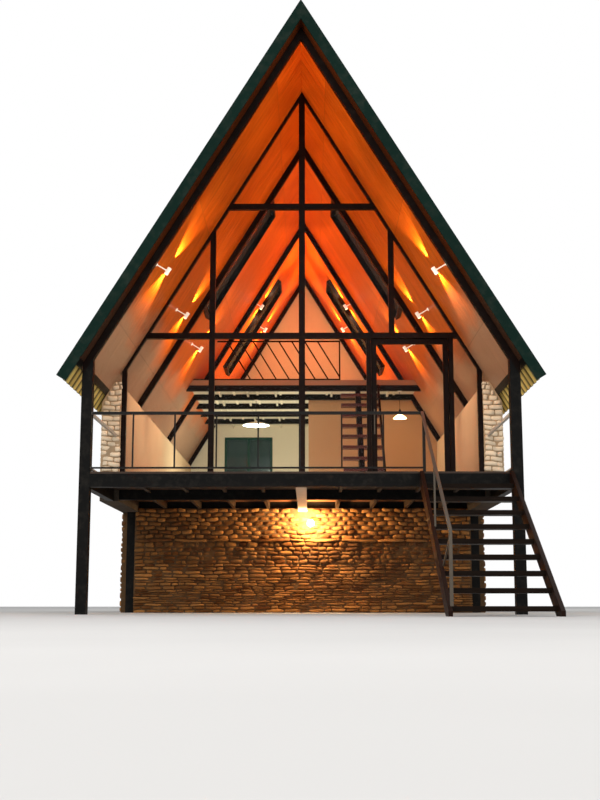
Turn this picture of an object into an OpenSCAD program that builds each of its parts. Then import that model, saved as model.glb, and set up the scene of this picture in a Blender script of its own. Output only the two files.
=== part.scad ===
// A-frame cabin on steel posts, with a raised deck, a glazed gable, a loft
// and a stone base. X runs across the front, Y runs away from the stair, Z is up.
// Heights are measured from the foot of the stair, the lowest ground it stands on.

/* [House] */
// Distance between the centre lines of the two front posts
span = 6000; // [5700:50:6300]
// Slope of the roof, in degrees
roof_pitch = 58.75; // [57.5:0.25:60]
// Height of the roof lining above the floor, at the post line
knee_h = 1656; // [1600:1:1750]
// Distance from the front frame to the glazed gable, and half a main bay
bay = 2270; // [2150:10:2400]
// Height of the floor above the lowest ground
floor_h = 1950; // [1800:10:2100]
// Roof overhang in front of the posts and behind the rear wall
verge = 250; // [200:10:350]

/* [Posts and rafters] */
// Side of the square posts
post_w = 150; // [120:5:180]
// Depth of the rafters below the lining
rafter_d = 95; // [80:5:120]
// Width of the rafters along the house
rafter_w = 100; // [80:5:120]
// Depth of the floor beams
beam_d = 183; // [150:1:220]
// Width of the floor beams
beam_w = 100; // [80:5:120]
// Depth of the beam under the glazed gable
mid_beam_d = 160; // [145:1:180]
// Width of the beam under the middle of the deck
centre_beam_w = 150; // [120:5:200]
// Depth of the joists under the deck
deck_joist_d = 48; // [40:1:70]
// Depth of the joists under the front of the house
house_joist_d = 123; // [100:1:140]
// Width of a joist
joist_w = 50; // [40:5:60]
// Distance between joists
joist_gap = 600; // [500:50:700]
// Thickness of the floor boards
board_t = 30; // [24:1:40]

/* [Roof] */
// Thickness of the plywood lining
lining_t = 12; // [9:1:18]
// Depth of the battens between the lining and the roof sheets
batten_d = 38; // [30:1:50]
// Width of a batten
batten_w = 60; // [50:5:80]
// Width of the beam under the eaves
eave_beam_w = 100; // [80:5:120]
// Distance between battens, measured down the slope
batten_gap = 1100; // [900:50:1300]
// Height of the ribs of the roof sheets
rib_h = 35; // [25:1:45]
// Distance from rib to rib
rib_pitch = 250; // [200:10:300]
// Width of the flat top of a rib
rib_top = 60; // [40:5:80]
// Width of the foot of a rib
rib_foot = 120; // [100:5:140]
// Thickness of the roof sheets, thicker than real sheet steel
sheet_t = 6; // [4:1:8]
// Length of roof sheet past the end of the lining, down the slope
eave = 375; // [330:5:420]
// Depth of the barge boards across the roof
barge_d = 155; // [140:1:175]
// Thickness of the barge boards
barge_t = 30; // [20:1:40]
// Length of each side of the ridge cap
cap_len = 230; // [180:10:300]

/* [Skylights] */
// Height of the opening of a skylight, measured down the slope
sky_len = 2400; // [2200:50:2500]
// Width of the opening of a skylight
sky_w = 1000; // [900:10:1040]
// Distance from the ridge to the top of a skylight, down the slope
sky_top = 1160; // [1000:10:1300]
// Thickness of the skylight frame
sky_frame = 40; // [30:5:50]
// Distance that the skylight frame stands above the roof sheets
sky_rise = 45; // [30:5:60]

/* [Walls] */
// Thickness of the brick side walls
wall_t = 300; // [250:5:340]
// Thickness of the stone walls
stone_t = 400; // [360:10:450]
// Thickness of the rear gable wall
rear_t = 150; // [120:5:200]
// Thickness of the partition under the loft
partition_t = 140; // [100:5:160]
// Distance from the middle of the house to the free end of the partition
partition_x = 105; // [80:5:150]
// Width of the rear window
window_w = 1220; // [1050:10:1300]
// Height of the rear window
window_h = 1460; // [1250:10:1500]
// Height of the rear window sill above the floor
window_sill = 940; // [850:10:980]
// Distance from the middle of the house to the middle of the rear window
window_x = 1420; // [1320:10:1460]

/* [Glazed gable] */
// Depth of the bars of the glazed gable, along the house
glazing_d = 90; // [70:5:100]
// Width of the sloping bars under the lining
edge_bar = 40; // [30:5:55]
// Width of the posts at the corners of the glazed gable
corner_bar = 75; // [60:5:80]
// Width of the middle mullion
middle_bar = 100; // [80:5:120]
// Width of the side mullions
side_bar = 90; // [70:5:100]
// Distance from the middle of the house to the side mullions
side_x = 1445; // [1400:5:1480]
// Height of the middle of the transom above the floor
transom_h = 2450; // [2400:5:2500]
// Height of the middle of the upper bar above the floor
upper_bar_h = 4615; // [4530:5:4700]
// Thickness of the glass
glass_t = 10; // [6:1:12]

/* [Door] */
// Width of the fixed glass between the door and the corner
sidelight_w = 378; // [350:1:410]
// Width of the door opening
door_w = 1245; // [1200:5:1250]
// Width of the door jambs
jamb_w = 72; // [60:1:75]
// Thickness of the door leaf
leaf_t = 45; // [40:1:50]
// Width of the stiles and rails of the door leaf
stile_w = 85; // [75:5:100]
// Gap round the door leaf
door_gap = 5; // [5:0.5:8]
// Radius of the hinge barrels
barrel_r = 9; // [8:0.5:11]
// Height of the lowest hinge above the floor
hinge_low = 300; // [200:10:400]
// Distance from hinge to hinge
hinge_step = 900; // [800:10:950]
// Height of the lower end of the pull handles above the floor
handle_h = 850; // [750:10:950]

/* [Deck railing and stair] */
// Height of the railings above the floor
rail_h = 844; // [800:1:900]
// Side of the railing tubes
rail_w = 40; // [30:1:45]
// Side of the balusters
baluster_w = 22; // [16:1:28]
// Number of gaps between balusters in the front railing
rail_bays = 8; // [6:1:10]
// Height of the bottom rail above the floor
rail_foot = 45; // [30:5:80]
// Distance from the middle of the right post to the stair
stair_side = 70; // [40:5:110]
// Width of the stair with its stringers
stair_w = 1290; // [1200:10:1310]
// Number of treads of the deck stair
tread_count = 9; // [8:1:9]
// Rise from tread to tread
riser = 204; // [198:1:210]
// Distance from tread to tread along the ground
going = 330; // [300:5:350]
// Depth of a tread, front to back
tread_d = 280; // [250:5:290]
// Thickness of a tread
tread_t = 60; // [50:1:70]
// Thickness of the stair stringers
stringer_t = 50; // [40:1:60]
// Depth of the stair stringers, measured upright
stringer_d = 230; // [200:5:260]
// Side of the square tube of the stair handrail
handrail_w = 38; // [30:1:48]
// Height of the lower end of the handrail above the line over the tread edges
handrail_h = 870; // [820:10:920]

/* [Loft and inner stair] */
// Height of the loft floor above the house floor
loft_h = 2800; // [2740:10:2850]
// Thickness of the loft floor
loft_t = 110; // [90:5:120]
// Depth of the loft beams
loft_beam_d = 115; // [100:5:130]
// Depth of the small joists under the loft floor
loft_joist_d = 60; // [40:5:70]
// Distance between the bars of the loft railing
loft_bar_gap = 270; // [240:10:300]
// Distance from the middle of the house to the inner stair
inner_x = 770; // [740:5:800]
// Width of the inner stair
inner_w = 760; // [710:10:810]
// Number of risers of the inner stair
inner_risers = 11; // [10:1:12]
// Distance from tread to tread of the inner stair along the floor
inner_going = 240; // [225:5:260]
// Height that the loft floor stands above the head of the inner stair
loft_step = 80; // [40:5:120]
// Thickness of the inner treads
inner_tread_t = 60; // [45:1:65]

/* [Lamps] */
// Length of the arm of a wall lamp
arm_len = 200; // [160:5:240]
// Distance from the post line up the slope to the lower row of lamps
lamp_up = 1690; // [1500:10:1900]
// Distance from the lower row of lamps up the slope to the row over the loft
loft_lamp_up = 1980; // [1850:10:2150]
// Distance from the loft beam down to the large pendant
pendant_drop = 570; // [500:10:650]
// Distance from the loft beam down to the small pendant
small_pendant_drop = 580; // [500:10:650]
// Distance from the beams down to the lamp on the stone wall
stone_lamp_drop = 200; // [150:10:300]
// Distance from the middle of the house to the lamp on the stone wall
stone_lamp_x = 140; // [100:10:200]
// Radius of a wall lamp head
head_r = 32; // [26:1:38]
// Radius of the large pendant shade
shade_r = 290; // [250:5:320]
// Radius of the small pendant shade
small_shade_r = 140; // [110:5:160]

/* [Hidden] */

half = span / 2;
post_in = half - post_w / 2;
post_out = half + post_w / 2;
front_face = -post_w / 2;
slope_t = tan(roof_pitch);
slope_s = sin(roof_pitch);
slope_c = cos(roof_pitch);
// Height of the underside of the lining at the ridge
apex_z = floor_h + knee_h + half * slope_t;
eps = 1;

// Frames that stand along the house
frame_y = [0, 2 * bay, 4 * bay, 6 * bay];
glass_y = bay;
rear_in = 6 * bay + rafter_w / 2;
rear_out = rear_in + rear_t;
verge_front = front_face - verge;
verge_rear = rear_out + verge;
wall_front = glass_y - glazing_d / 2 - 30;
wall_in = half - 125;
wall_out = wall_in + wall_t;
beam_bottom = floor_h - board_t - beam_d;
beam_top = floor_h - board_t;
rear_post_y = 2 * bay;

// The stair reaches furthest to the front, the roof furthest to the rear
stair_foot = 150;
stair_end = front_face - tread_count * going - stair_foot;
mid_y = (stair_end + verge_rear) / 2;

// Clearance between a piece and a sloping face that carries it
seat = 0.3;

// Height at x of a plane that lies off outside the underside of the lining
function roof_z(x, off = 0) = apex_z + off / slope_c - abs(x) * slope_t;
// Distance from the middle at which that plane has the height z
function roof_x(z, off = 0) = (apex_z + off / slope_c - z) / slope_t;
// Point on a line square to the roof through the lining's underside at x
function square_cut(x, off) = [x + off * slope_s, roof_z(x) + off * slope_c];

lining_x = post_out - 15;
wall_top = floor_h + knee_h + 35;
sheet_off = lining_t + batten_d;
sheet_top = sheet_off + rib_h + sheet_t;
sheet_s = lining_x / slope_c + eave;
loft_z = floor_h + loft_h;
loft_under = loft_z - loft_t;
loft_front = 3.5 * bay;
sky_y = [2 * bay + rafter_w / 2, 4.5 * bay + rafter_w / 2];

// Moves the house so that its middle stands over the origin
module place() {
    translate([0, -mid_y, 0]) children();
}

// A plate with its outline in x and z, between two distances along the house
module plate(y0, y1, pts) {
    translate([0, y1, 0]) rotate([90, 0, 0]) linear_extrude(height = y1 - y0) polygon(pts);
}

// A box between two corners
module block(a, b) {
    translate(a) cube(b - a);
}

// A plate with its outline in y and z, between two distances across the house
module side_plate(x0, x1, pts) {
    translate([x0, 0, 0]) rotate([90, 0, 90]) linear_extrude(height = x1 - x0) polygon(pts);
}

// Turns its children so that x runs down the right slope and z points out of it
module on_slope() {
    translate([0, 0, apex_z]) rotate([0, roof_pitch, 0]) children();
}

// The same children on both sides of the house
module both_sides() {
    children();
    mirror([1, 0, 0]) children();
}

// Frame of the floor

module posts() {
    color([0.10, 0.09, 0.08]) place() both_sides() {
        plate(front_face, -front_face, [
            [post_in, 0], [post_out, 0],
            [post_out, roof_z(post_out, -rafter_d - seat)], [post_in, roof_z(post_in, -rafter_d - seat)]
        ]);
        block([post_in, rear_post_y - post_w / 2, 0], [post_out, rear_post_y + post_w / 2, beam_bottom]);
    }
}

module cross_beams() {
    color([0.11, 0.10, 0.09]) place() {
        block([-post_in, front_face, beam_bottom], [post_in, front_face + beam_w, beam_top]);
        both_sides()
            block([centre_beam_w / 2, glass_y - beam_w / 2, beam_top - mid_beam_d],
                  [wall_in, glass_y + beam_w / 2, beam_top]);
        for (y = [rear_post_y, rear_in - beam_w / 2])
            block([-wall_in, y - beam_w / 2, beam_bottom], [wall_in, y + beam_w / 2, beam_top]);
    }
}

module side_beams() {
    color([0.11, 0.10, 0.09]) place() both_sides()
        block([half - beam_w / 2, -front_face, beam_bottom], [half + beam_w / 2, wall_front, beam_top]);
}

// Bays between the cross beams under the deck and the front of the house: from, to, depth of the joists
floor_bays = [
    [front_face + beam_w, glass_y - beam_w / 2, deck_joist_d],
    [glass_y + beam_w / 2, rear_post_y - beam_w / 2, house_joist_d]
];

module centre_beams() {
    color([0.42, 0.34, 0.26]) place()
        block([-centre_beam_w / 2, floor_bays[0][0], beam_bottom], [centre_beam_w / 2, floor_bays[1][1], beam_top]);
}

joists_a_side = floor((post_in - joist_w) / joist_gap);

module floor_joists() {
    color([0.13, 0.11, 0.09]) place()
        for (b = floor_bays, i = [1 : joists_a_side]) both_sides()
            block([i * joist_gap - joist_w / 2, b[0], beam_top - b[2]],
                  [i * joist_gap + joist_w / 2, b[1], beam_top]);
}

module deck_floor() {
    color([0.24, 0.16, 0.11]) place() difference() {
        block([-post_out, front_face, beam_top], [post_out, wall_front, floor_h]);
        both_sides()
            block([post_in, front_face - eps, beam_top - eps], [post_out + eps, -front_face, floor_h + eps]);
    }
}

module house_floor() {
    color([0.42, 0.22, 0.12]) place()
        block([-wall_in, wall_front, beam_top], [wall_in, rear_in, floor_h]);
}

module ring_beams() {
    color([0.55, 0.53, 0.50]) place() both_sides()
        block([wall_in, wall_front, beam_bottom], [wall_out, rear_in, beam_top]);
}

// Stone base

stone_front_y = rear_post_y - post_w / 2 - 75;

// The front of the wall rises before the beam behind it, up to the joists
module stone_front_wall() {
    color([0.42, 0.30, 0.20]) place() {
        block([-post_in, stone_front_y, 0], [post_in, stone_front_y + stone_t, beam_bottom]);
        both_sides()
            block([centre_beam_w / 2, stone_front_y, beam_bottom - eps],
                  [wall_in, floor_bays[1][1], beam_top - house_joist_d]);
    }
}

module stone_side_walls() {
    color([0.42, 0.30, 0.20]) place() both_sides() difference() {
        block([wall_in, rear_post_y + post_w / 2, 0], [wall_out, rear_out, beam_bottom]);
        block([wall_in - eps, rear_post_y, -eps], [post_in, stone_front_y + stone_t, beam_bottom + eps]);
    }
}

module stone_rear_wall() {
    color([0.42, 0.30, 0.20]) place()
        block([-wall_in, rear_out - stone_t, 0], [wall_in, rear_out, beam_bottom]);
}

// Rafters

module rafter(y, width, depth, end_x, top = -seat) {
    plate(y - width / 2, y + width / 2, [
        [0, roof_z(0, -depth)], [0, roof_z(0, top)],
        [end_x, roof_z(end_x, top)], [end_x, roof_z(end_x, -depth)]
    ]);
}

module right_side_rafters() {
    for (y = frame_y) rafter(y, rafter_w, rafter_d, post_out);
    rafter(glass_y, glazing_d, edge_bar, wall_in);
}

module left_rafters() {
    color([0.12, 0.07, 0.05]) place() mirror([1, 0, 0]) right_side_rafters();
}

module right_rafters() {
    color([0.12, 0.07, 0.05]) place() right_side_rafters();
}

// Roof

// Openings of the skylights through the right slope
module sky_openings(inset, off0, off1) {
    on_slope() for (y = sky_y)
        block([sky_top + inset, y + inset, off0], [sky_top + sky_len - inset, y + sky_w - inset, off1]);
}

module right_side_lining() {
    difference() {
        plate(verge_front + barge_t, verge_rear - barge_t, [
            [0, roof_z(0)], [0, roof_z(0, lining_t)],
            square_cut(lining_x, lining_t), square_cut(lining_x, 0)
        ]);
        sky_openings(0, -eps, lining_t + eps);
    }
}

module left_lining() {
    color([0.72, 0.30, 0.07]) place() mirror([1, 0, 0]) right_side_lining();
}

module right_lining() {
    color([0.72, 0.30, 0.07]) place() right_side_lining();
}

batten_s = lining_x / slope_c;
batten_rows = floor((batten_s - batten_gap / 2) / batten_gap);

module roof_battens() {
    color([0.30, 0.20, 0.12]) place() both_sides() difference() {
        on_slope() for (i = [0 : batten_rows])
            block([batten_gap / 2 + i * batten_gap, verge_front + barge_t, lining_t + seat],
                  [batten_gap / 2 + i * batten_gap + batten_w, verge_rear - barge_t, sheet_off]);
        sky_openings(0, 0, sheet_off + eps);
    }
}

module eave_beams() {
    color([0.10, 0.08, 0.07]) place() both_sides() on_slope()
        block([batten_s + seat, verge_front + barge_t, 0], [batten_s + eave_beam_w, verge_rear - barge_t, sheet_off]);
}

// Ribbed sheet, as an outline across the ribs, drawn from rib to rib
rib_count = floor((verge_rear - verge_front - 2 * barge_t) / rib_pitch);
rib_start = (verge_front + verge_rear - rib_count * rib_pitch) / 2;
rib_line = concat(
    [[verge_front + barge_t, 0]],
    [for (i = [0 : rib_count - 1], p = [
        [(rib_pitch - rib_foot) / 2, 0], [(rib_pitch - rib_top) / 2, rib_h],
        [(rib_pitch + rib_top) / 2, rib_h], [(rib_pitch + rib_foot) / 2, 0]
    ]) [rib_start + i * rib_pitch + p[0], p[1]]],
    [[verge_rear - barge_t, 0]]
);
rib_last = len(rib_line) - 1;
rib_outline = concat(
    [for (p = rib_line) [p[0], p[1] + sheet_t]],
    [for (i = [0 : rib_last]) rib_line[rib_last - i]]
);
sheet_start = -sheet_off * slope_t + seat;

module right_side_sheets() {
    difference() {
        on_slope() translate([sheet_start, 0, sheet_off + seat]) rotate([90, 0, 90])
            linear_extrude(height = sheet_s - sheet_start) polygon(rib_outline);
        sky_openings(0, sheet_off - eps, sheet_top + 2 * eps);
    }
}

module left_roof() {
    color([0.07, 0.16, 0.11]) place() mirror([1, 0, 0]) right_side_sheets();
}

module right_roof() {
    color([0.07, 0.16, 0.11]) place() right_side_sheets();
}

module ridge_cap() {
    low = sheet_top + 2 * seat;
    high = low + sheet_t;
    cap_x = cap_len * slope_c;
    color([0.07, 0.16, 0.11]) place() both_sides()
        plate(verge_front + barge_t, verge_rear - barge_t, [
            [0, roof_z(0, high)], square_cut(cap_x, high), square_cut(cap_x, low), [0, roof_z(0, low)]
        ]);
}

module barge_pair() {
    for (y = [verge_front, verge_rear - barge_t])
        plate(y, y + barge_t, [
            [0, roof_z(0)], [0, roof_z(0, barge_d)],
            square_cut(sheet_s * slope_c, barge_d), square_cut(sheet_s * slope_c, 0)
        ]);
}

module left_barge_boards() {
    color([0.06, 0.13, 0.09]) place() mirror([1, 0, 0]) barge_pair();
}

module right_barge_boards() {
    color([0.06, 0.13, 0.09]) place() barge_pair();
}

module skylight_frames() {
    color([0.10, 0.08, 0.07]) place() both_sides() difference() {
        sky_openings(seat, -rafter_d + 5, sheet_top + sky_rise);
        sky_openings(sky_frame, -rafter_d, sheet_top + sky_rise + eps);
    }
}

module skylight_glass() {
    color([0.45, 0.55, 0.60, 0.5]) place() both_sides()
        sky_openings(sky_frame + seat, 0, glass_t);
}

// Walls

module right_side_brick() {
    difference() {
        plate(wall_front, rear_in, [
            [wall_in, beam_top], [wall_out, beam_top], [wall_out, roof_z(wall_out, -seat)],
            [roof_x(wall_top, -seat), wall_top], [wall_in + 45, wall_top],
            [wall_in + 15, wall_top - 20], [wall_in, wall_top - 60]
        ]);
        for (y = [frame_y[1], frame_y[2], frame_y[3]])
            plate(y - rafter_w / 2 - seat, y + rafter_w / 2 + seat, [
                [wall_in - eps, roof_z(wall_in - eps, -rafter_d - seat)], [wall_in - eps, apex_z],
                [post_out + seat, apex_z], [post_out + seat, roof_z(post_out + seat, -rafter_d - seat)]
            ]);
    }
}

module left_brick_wall() {
    color([0.86, 0.82, 0.74]) place() mirror([1, 0, 0]) right_side_brick();
}

module right_brick_wall() {
    color([0.86, 0.82, 0.74]) place() right_side_brick();
}

// Outline of the rear window, made smaller by inset
module window_block(inset, y0, y1) {
    block([-window_x - window_w / 2 + inset, y0, floor_h + window_sill + inset],
          [-window_x + window_w / 2 - inset, y1, floor_h + window_sill + window_h - inset]);
}

window_frame_w = 60;

module rear_wall() {
    color([0.85, 0.76, 0.62]) place() difference() {
        plate(rear_in, rear_out, [
            [-wall_out, beam_bottom], [wall_out, beam_bottom], [wall_out, roof_z(wall_out, -seat)],
            [0, roof_z(0, -seat)], [-wall_out, roof_z(wall_out, -seat)]
        ]);
        window_block(0, rear_in - eps, rear_out + eps);
    }
}

module rear_window_frame() {
    color([0.06, 0.20, 0.14]) place() {
        difference() {
            window_block(0, rear_in + 30, rear_out - 20);
            window_block(window_frame_w, rear_in, rear_out);
        }
        block([-window_x - window_frame_w / 2, rear_in + 30, floor_h + window_sill + window_frame_w],
              [-window_x + window_frame_w / 2, rear_out - 20, floor_h + window_sill + window_h - window_frame_w]);
    }
}

module rear_window_glass() {
    color([0.30, 0.45, 0.40, 0.5]) place() difference() {
        window_block(window_frame_w, rear_in + 70, rear_in + 70 + glass_t);
        block([-window_x - window_frame_w / 2, rear_in, floor_h],
              [-window_x + window_frame_w / 2, rear_out, floor_h + loft_h * 2]);
    }
}

partition_y = frame_y[2] + rafter_w / 2;

module partition_wall() {
    color([0.86, 0.76, 0.62]) place()
        plate(partition_y, partition_y + partition_t, [
            [partition_x, floor_h], [wall_in - seat, floor_h], [wall_in - seat, roof_z(wall_in, -seat)],
            [roof_x(loft_under, -seat), loft_under], [partition_x, loft_under]
        ]);
}

// Glazed gable

transom_z = floor_h + transom_h;
upper_bar_z = floor_h + upper_bar_h;
gable_y0 = glass_y - glazing_d / 2;
gable_y1 = glass_y + glazing_d / 2;
corner_x = wall_in - corner_bar;
transom_lo = transom_z - side_bar / 2;
transom_hi = transom_z + side_bar / 2;
upper_lo = upper_bar_z - side_bar / 2;
upper_hi = upper_bar_z + side_bar / 2;
door_right = corner_x - sidelight_w - jamb_w;
door_x = door_right - door_w;

// Part of the gable inside the sloping bars, between two heights and two distances across
module gable_bar(x0, x1, z0, z1) {
    intersection() {
        block([x0, gable_y0, z0], [x1, gable_y1, z1]);
        gable_space(gable_y0 - eps, gable_y1 + eps);
    }
}

module gable_space(y0, y1) {
    plate(y0, y1, [
        [-wall_in, floor_h], [wall_in, floor_h], [wall_in, roof_z(wall_in, -edge_bar)],
        [0, roof_z(0, -edge_bar)], [-wall_in, roof_z(wall_in, -edge_bar)]
    ]);
}

hinge_x = door_right - door_gap / 2;
hinge_y = gable_y1 + barrel_r + 1;
barrel_h = 50;
hinge_z = [for (i = [0 : 2]) floor_h + hinge_low + i * hinge_step];

// The barrel and plate of one half of a hinge, on the side of the barrel that side gives
module hinge_half(z, side) {
    translate([hinge_x, hinge_y, z]) cylinder(r = barrel_r, h = barrel_h, $fn = 24);
    block([side > 0 ? hinge_x + door_gap / 2 : hinge_x - 45, gable_y1, z],
          [side > 0 ? hinge_x + 45 : hinge_x - door_gap / 2, gable_y1 + 4, z + barrel_h]);
    block([side > 0 ? hinge_x : hinge_x - barrel_r, gable_y1 + 1, z],
          [side > 0 ? hinge_x + barrel_r : hinge_x, gable_y1 + 4, z + barrel_h]);
}

module glazed_gable_posts() {
    color([0.10, 0.07, 0.06]) place() {
        for (x = [-wall_in, wall_in - corner_bar])
            gable_bar(x, x + corner_bar, floor_h, apex_z);
        gable_bar(-middle_bar / 2, middle_bar / 2, floor_h, apex_z);
        gable_bar(-side_x - side_bar / 2, -side_x + side_bar / 2, floor_h, apex_z);
        gable_bar(side_x - side_bar / 2, side_x + side_bar / 2, transom_hi, apex_z);
        gable_bar(door_x - jamb_w, door_x, floor_h, transom_lo);
        gable_bar(door_right, door_right + jamb_w, floor_h, transom_lo);
        for (z = hinge_z) hinge_half(z, 1);
    }
}

// Pieces of a rail between uprights
module gable_rail(spans, z0, z1) {
    for (s = spans) gable_bar(s[0], s[1], z0, z1);
}

sill_h = 60;

module glazed_gable_rails() {
    color([0.10, 0.07, 0.06]) place() {
        gable_rail([
            [-wall_in, -side_x - side_bar / 2], [-side_x + side_bar / 2, -middle_bar / 2],
            [middle_bar / 2, wall_in]
        ], transom_lo, transom_hi);
        gable_rail([[-wall_in, -middle_bar / 2], [middle_bar / 2, wall_in]], upper_lo, upper_hi);
        gable_rail([
            [-corner_x, -side_x - side_bar / 2], [-side_x + side_bar / 2, -middle_bar / 2],
            [middle_bar / 2, door_x - jamb_w], [door_right + jamb_w, corner_x]
        ], floor_h, floor_h + sill_h);
    }
}

// Glass between the bars, as one sheet for each opening
module glazed_gable_panes() {
    y0 = glass_y - glass_t / 2;
    y1 = glass_y + glass_t / 2;
    color([0.75, 0.80, 0.78, 0.3]) place() difference() {
        gable_space(y0, y1);
        both_sides() block([corner_x, y0 - eps, 0], [half, y1 + eps, roof_z(corner_x)]);
        block([-middle_bar / 2, y0 - eps, 0], [middle_bar / 2, y1 + eps, apex_z]);
        block([-side_x - side_bar / 2, y0 - eps, 0], [-side_x + side_bar / 2, y1 + eps, apex_z]);
        block([side_x - side_bar / 2, y0 - eps, transom_z], [side_x + side_bar / 2, y1 + eps, apex_z]);
        block([-half, y0 - eps, transom_lo], [half, y1 + eps, transom_hi]);
        block([-half, y0 - eps, upper_lo], [half, y1 + eps, upper_hi]);
        block([-half, y0 - eps, 0], [half, y1 + eps, floor_h + sill_h]);
        block([door_x - jamb_w, y0 - eps, 0], [door_right + jamb_w, y1 + eps, transom_z]);
    }
}

// Door

leaf_x0 = door_x + door_gap;
leaf_x1 = door_right - door_gap;
leaf_y0 = gable_y1 - leaf_t;
leaf_z0 = floor_h + 10;
leaf_z1 = transom_lo - door_gap;
mid_rail_h = 900;

module door_leaf() {
    color([0.10, 0.07, 0.06]) place() {
        difference() {
            block([leaf_x0, leaf_y0, leaf_z0], [leaf_x1, gable_y1, leaf_z1]);
            block([leaf_x0 + stile_w, leaf_y0 - eps, leaf_z0 + stile_w],
                  [leaf_x1 - stile_w, gable_y1 + eps, leaf_z1 - stile_w]);
        }
        for (z = hinge_z) hinge_half(z + barrel_h + 0.3, -1);
    }
}

module door_glass() {
    y_mid = gable_y1 - leaf_t / 2;
    color([0.75, 0.80, 0.78, 0.3]) place()
        block([leaf_x0 + stile_w, y_mid - glass_t / 2, leaf_z0 + stile_w],
              [leaf_x1 - stile_w, y_mid + glass_t / 2, leaf_z1 - stile_w]);
}

handle_z = floor_h + handle_h;
handle_len = 400;
handle_out = 45;

// A pull bar on each face of the leaf, held by two studs
module door_handle() {
    color([0.75, 0.74, 0.72]) place() for (s = [-1, 1]) {
        face = s < 0 ? leaf_y0 : gable_y1;
        translate([leaf_x0 + stile_w / 2, face + s * handle_out, handle_z])
            cylinder(r = 11, h = handle_len, $fn = 20);
        for (z = [handle_z + 50, handle_z + handle_len - 50])
            translate([leaf_x0 + stile_w / 2, s < 0 ? face - handle_out : face, z])
                rotate([-90, 0, 0]) cylinder(r = 7, h = handle_out, $fn = 16);
    }
}

// Deck railing

rail_top = floor_h + rail_h;
stair_x = half - stair_side - stair_w;
rail_x = stair_x + stringer_t;
rail_end = rail_x + rail_w;

// Top rail and bottom rail of a railing in its own length, from x = 0
module rail_pair(length) {
    block([0, -rail_w / 2, rail_top - rail_w], [length, rail_w / 2, rail_top]);
    block([0, -rail_w / 2, floor_h + rail_foot], [length, rail_w / 2, floor_h + rail_foot + baluster_w]);
}

// The balusters that divide the length into a number of gaps
module balusters(length, gaps) {
    for (i = [1 : gaps - 1])
        block([i * length / gaps - baluster_w / 2, -baluster_w / 2, floor_h + rail_foot],
              [i * length / gaps + baluster_w / 2, baluster_w / 2, rail_top - rail_w / 2]);
}

side_rail_len = wall_front + front_face;

module deck_railings() {
    color([0.16, 0.15, 0.14]) place() {
        translate([-post_in, front_face + rail_w, 0]) {
            rail_pair(post_in + rail_end);
            balusters(post_in + rail_end, rail_bays);
        }
        block([rail_x, front_face + rail_w / 2, floor_h], [rail_end, front_face + 3 * rail_w / 2, rail_top]);
        both_sides() translate([post_in + rail_w / 2, -front_face, 0]) rotate([0, 0, 90])
            rail_pair(side_rail_len);
    }
}

// Deck stair

// Height of the line over the tread edges at a distance y in front of the deck
function nosing_z(y) = floor_h - riser * (front_face - y) / going;

stringer_over = 40;
stair_right = stair_x + stair_w - stringer_t;

module stringer(x) {
    top = stringer_over;
    low = stringer_over - stringer_d;
    foot_y = front_face - going * (floor_h + low) / riser;
    side_plate(x, x + stringer_t, [
        [front_face, floor_h], [front_face - going * top / riser, floor_h],
        [stair_end, nosing_z(stair_end) + top], [stair_end, 0], [foot_y, 0], [front_face, floor_h + low]
    ]);
}

module stair_stringers() {
    color([0.30, 0.17, 0.12]) place() {
        stringer(stair_x);
        stringer(stair_right);
    }
}

module stair_treads() {
    color([0.17, 0.12, 0.09]) place()
        for (n = [1 : tread_count])
            translate([0, front_face - n * going, floor_h - n * riser - tread_t])
                block([stair_x + stringer_t, 0, 0], [stair_right, tread_d, tread_t]);
}

// Height of the top of a stringer at y
function string_z(y) = nosing_z(y) + stringer_over;

newel_y = front_face - (tread_count + 0.15) * going;
newel_top = nosing_z(newel_y) + handrail_h;
handrail_end = front_face + rail_w / 2;
handrail_slope = (rail_top - rail_w / 2 - newel_top) / (handrail_end - newel_y);

// Height of the middle of the handrail at y
function hand_z(y) = newel_top + handrail_slope * (y - newel_y);

// An upright from the stringer to the handrail
module stair_upright(y, w) {
    x = rail_x;
    side_plate(x - w / 2, x + w / 2, [
        [y - w / 2, string_z(y - w / 2)], [y + w / 2, string_z(y + w / 2)],
        [y + w / 2, hand_z(y + w / 2)], [y - w / 2, hand_z(y - w / 2)]
    ]);
}

module stair_handrail() {
    x = rail_x;
    w = handrail_w;
    low_y = newel_y - w / 2;
    brace_y = newel_y + 2.2 * going;
    color([0.62, 0.60, 0.56]) place() {
        side_plate(x - w / 2, x + w / 2, [
            [low_y, hand_z(low_y) - w / 2], [handrail_end, hand_z(handrail_end) - w / 2],
            [handrail_end, hand_z(handrail_end) + w / 2], [low_y, hand_z(low_y) + w / 2]
        ]);
        stair_upright(newel_y, w);
        stair_upright(front_face - 4.35 * going, w * 0.6);
        side_plate(x - w / 4, x + w / 4, [
            [newel_y, newel_top - w], [newel_y, newel_top - 2 * w],
            [brace_y, string_z(brace_y)], [brace_y + w * 0.8, string_z(brace_y + w * 0.8)]
        ]);
    }
}

// Loft

loft_beam_y = [for (i = [0 : 4]) loft_front + rafter_w / 2 + i * bay / 2];

// Space of the rafters on both sides, which the loft is cut to fit
module rafter_space() {
    both_sides() for (y = frame_y) rafter(y, rafter_w, rafter_d, post_out, lining_t);
}

module loft_section(y0, y1, z0, z1) {
    plate(y0, y1, [
        [-roof_x(z0, -seat), z0], [roof_x(z0, -seat), z0], [roof_x(z1, -seat), z1], [-roof_x(z1, -seat), z1]
    ]);
}

module loft_beams() {
    color([0.10, 0.12, 0.10]) place() difference() {
        for (i = [0 : 4]) {
            y = i == 1 ? frame_y[2] : loft_beam_y[i];
            loft_section(y - rafter_w / 2, y + rafter_w / 2, loft_under - loft_beam_d, loft_under);
        }
        rafter_space();
    }
}

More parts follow.
